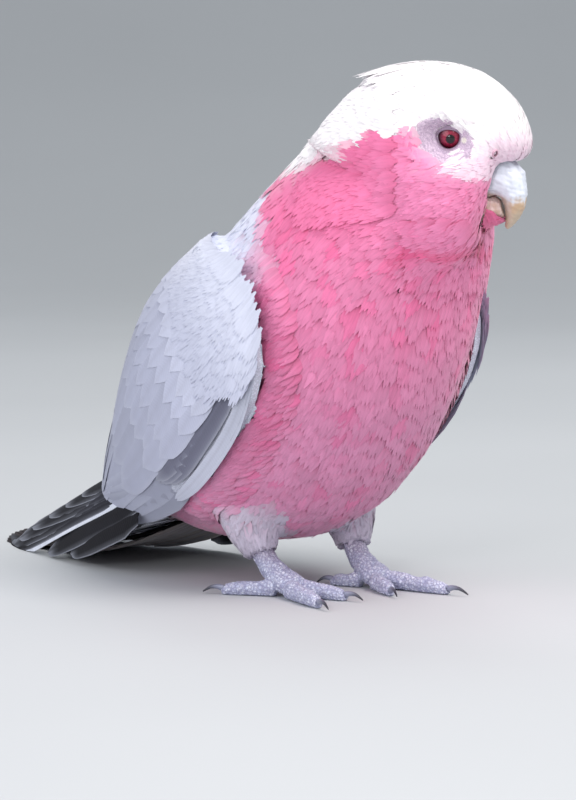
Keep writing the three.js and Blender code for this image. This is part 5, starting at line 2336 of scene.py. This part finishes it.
@dataclass(frozen=True)
class Studio:
    """A plain pale floor, soft light, and the camera."""

    azimuth: float = math.radians(53.0)  # the way the camera looks, from +X towards +Y
    fall: float = math.radians(8.0)  # how far it looks down
    away_mm: float = 1400.0
    lens_mm: float = 189.0
    aim_up: float = 192 / 4200  # from the feet to the middle of the picture, as a slope
    aim_right: float = -46 / 4200
    lit_height: float = 0.08  # how far over the floor the lamps point, in metres

    def axes(self) -> tuple[Array, Array, Array]:
        """The camera's way forwards, to its right and up, when it looks at the feet."""
        level = np.array([math.cos(self.azimuth), math.sin(self.azimuth), 0.0])
        ahead = level * math.cos(self.fall) - np.array([0, 0, math.sin(self.fall)])
        right = np.array([math.sin(self.azimuth), -math.cos(self.azimuth), 0.0])
        return ahead, right, np.cross(right, ahead)

    def camera(self) -> None:
        """Sets up the camera."""
        ahead, right, up = self.axes()
        place = (-ahead * self.away_mm + ORIGIN) * MM
        aim = Vector(ahead + right * self.aim_right + up * self.aim_up)
        lens = bpy.data.cameras.new("camera")
        lens.lens, lens.sensor_width, lens.sensor_fit = self.lens_mm, 36.0, "AUTO"
        lens.clip_start, lens.clip_end = 0.05, 50.0
        camera = new_object("camera", lens)
        camera.location = Vector(place)
        camera.rotation_euler = aim.to_track_quat("-Z", "Y").to_euler()
        bpy.context.scene.camera = camera

    def lamp(
        self, name: str, turn: float, rise: float, away: float, size: float, power: float, code: str
    ) -> None:
        """Adds a soft square light that points at the bird.

        Args:
            name: The light's name.
            turn: Degrees to the right of the camera, seen from the bird.
            rise: Degrees above the floor.
            away: Its distance in metres.
            size: Its width in metres.
            power: Its power in watts.
            code: Its colour.
        """
        back = self.azimuth + math.pi + math.radians(turn)
        flat, high = away * math.cos(math.radians(rise)), away * math.sin(math.radians(rise))
        place = Vector((flat * math.cos(back), flat * math.sin(back), high + self.lit_height))
        light = bpy.data.lights.new(name, "AREA")
        light.shape, light.size, light.energy, light.color = "SQUARE", size, power, linear(code)
        lamp = new_object(name, light)
        lamp.location = place
        lamp.rotation_euler = (Vector((0, 0, self.lit_height)) - place).to_track_quat("-Z", "Y").to_euler()

    def floor(self) -> None:
        """Lays the floor, with a matt painted finish, and sweeps it up behind the bird."""
        turn = np.linspace(0, math.pi / 2, 24)
        reach = np.concatenate([[-6.0, -1.0, 0.0, 0.6], 1.2 + 2.2 * np.sin(turn), [3.4]])
        height = np.concatenate([np.zeros(4), 2.2 - 2.2 * np.cos(turn), [6.0]])
        ahead = np.array([math.cos(self.azimuth), math.sin(self.azimuth)])
        side = np.array([ahead[1], -ahead[0]])
        points = [
            (*(ahead * far + side * wide), high - 0.0001)
            for far, high in zip(reach, height)
            for wide in (-7.0, 7.0)
        ]
        faces = [(2 * k, 2 * k + 1, 2 * k + 3, 2 * k + 2) for k in range(len(reach) - 1)]
        mesh = bpy.data.meshes.new("floor")
        mesh.from_pydata(points, [], faces)
        shade_smooth(mesh)
        floor = new_object("floor", mesh)
        made, tree = new_material("matt_floor_paint")
        place = add_node(tree, "ShaderNodeTexCoord").outputs["Object"]
        grain = add_node(tree, "ShaderNodeTexNoise", {"Vector": place, "Scale": 3.0, "Detail": 2.0})
        shade = add_node(tree, "ShaderNodeValToRGB", {0: grain.outputs[0]})
        set_stops(shade.color_ramp, ((0.3, "#bec1c4"), (0.7, "#c2c5c8")))
        end_material(tree, {"Base Color": shade.outputs[0], "Roughness": 0.9, "Specular IOR Level": 0.2})
        floor.data.materials.append(made)

    def build(self) -> None:
        """Builds the studio."""
        self.camera()
        self.floor()
        self.lamp("key", 46, 56, 1.3, 0.7, 13.2, "#fffaf6")
        self.lamp("fill", -50, 28, 1.6, 1.1, 6.5, "#f6f3fb")
        self.lamp("front", -16, 15, 1.3, 0.2, 3.0, "#ffffff")
        self.lamp("back", 165, 55, 1.4, 0.7, 5.0, "#ffffff")
        world = bpy.data.worlds.new("studio")
        world.use_nodes = True
        tree = world.node_tree
        tree.nodes.clear()
        glow = add_node(tree, "ShaderNodeBackground", {"Color": (*linear("#c9cdd1"), 1.0), "Strength": 0.95})
        add_node(tree, "ShaderNodeOutputWorld", {"Surface": glow.outputs[0]})
        bpy.context.scene.world = world
        bpy.context.scene.view_settings.view_transform = "Standard"


def main() -> None:
    """Builds and dresses every part of the bird, in order."""
    logging.basicConfig(level=logging.INFO, format="%(name)s: %(message)s", stream=sys.stdout)
    for selected in bpy.context.selected_objects:
        selected.select_set(False)
    Studio().build()
    flesh = Flesh()
    coat = BodyCoat(flesh)
    for part in (flesh, coat, HeadPlumes(flesh), Wing(flesh), Primaries(), Tail()):
        part.build()
        part.dress()
    eye_skin = SkinFinish("bare_eye_skin", crease_mm=0.55, bump=0.35).material()
    wet = EyeFinish("wet_eye").material()
    for side in Side:
        region = EyeRegion(side, coat)
        region.build()
        region.dress(eye_skin, wet)
    bill = Bill()
    bill.build()
    bill.dress(HornFinish("bill_horn").material())
    scale = ScaleFinish("granular_foot_scale").material()
    claw = HornFinish("claw_horn", layer_mm=0.9, roughness=0.32).material()
    for side in Side:
        foot = Foot(side)
        foot.build()
        foot.dress(scale, claw)


if __name__ == "__main__":
    main()
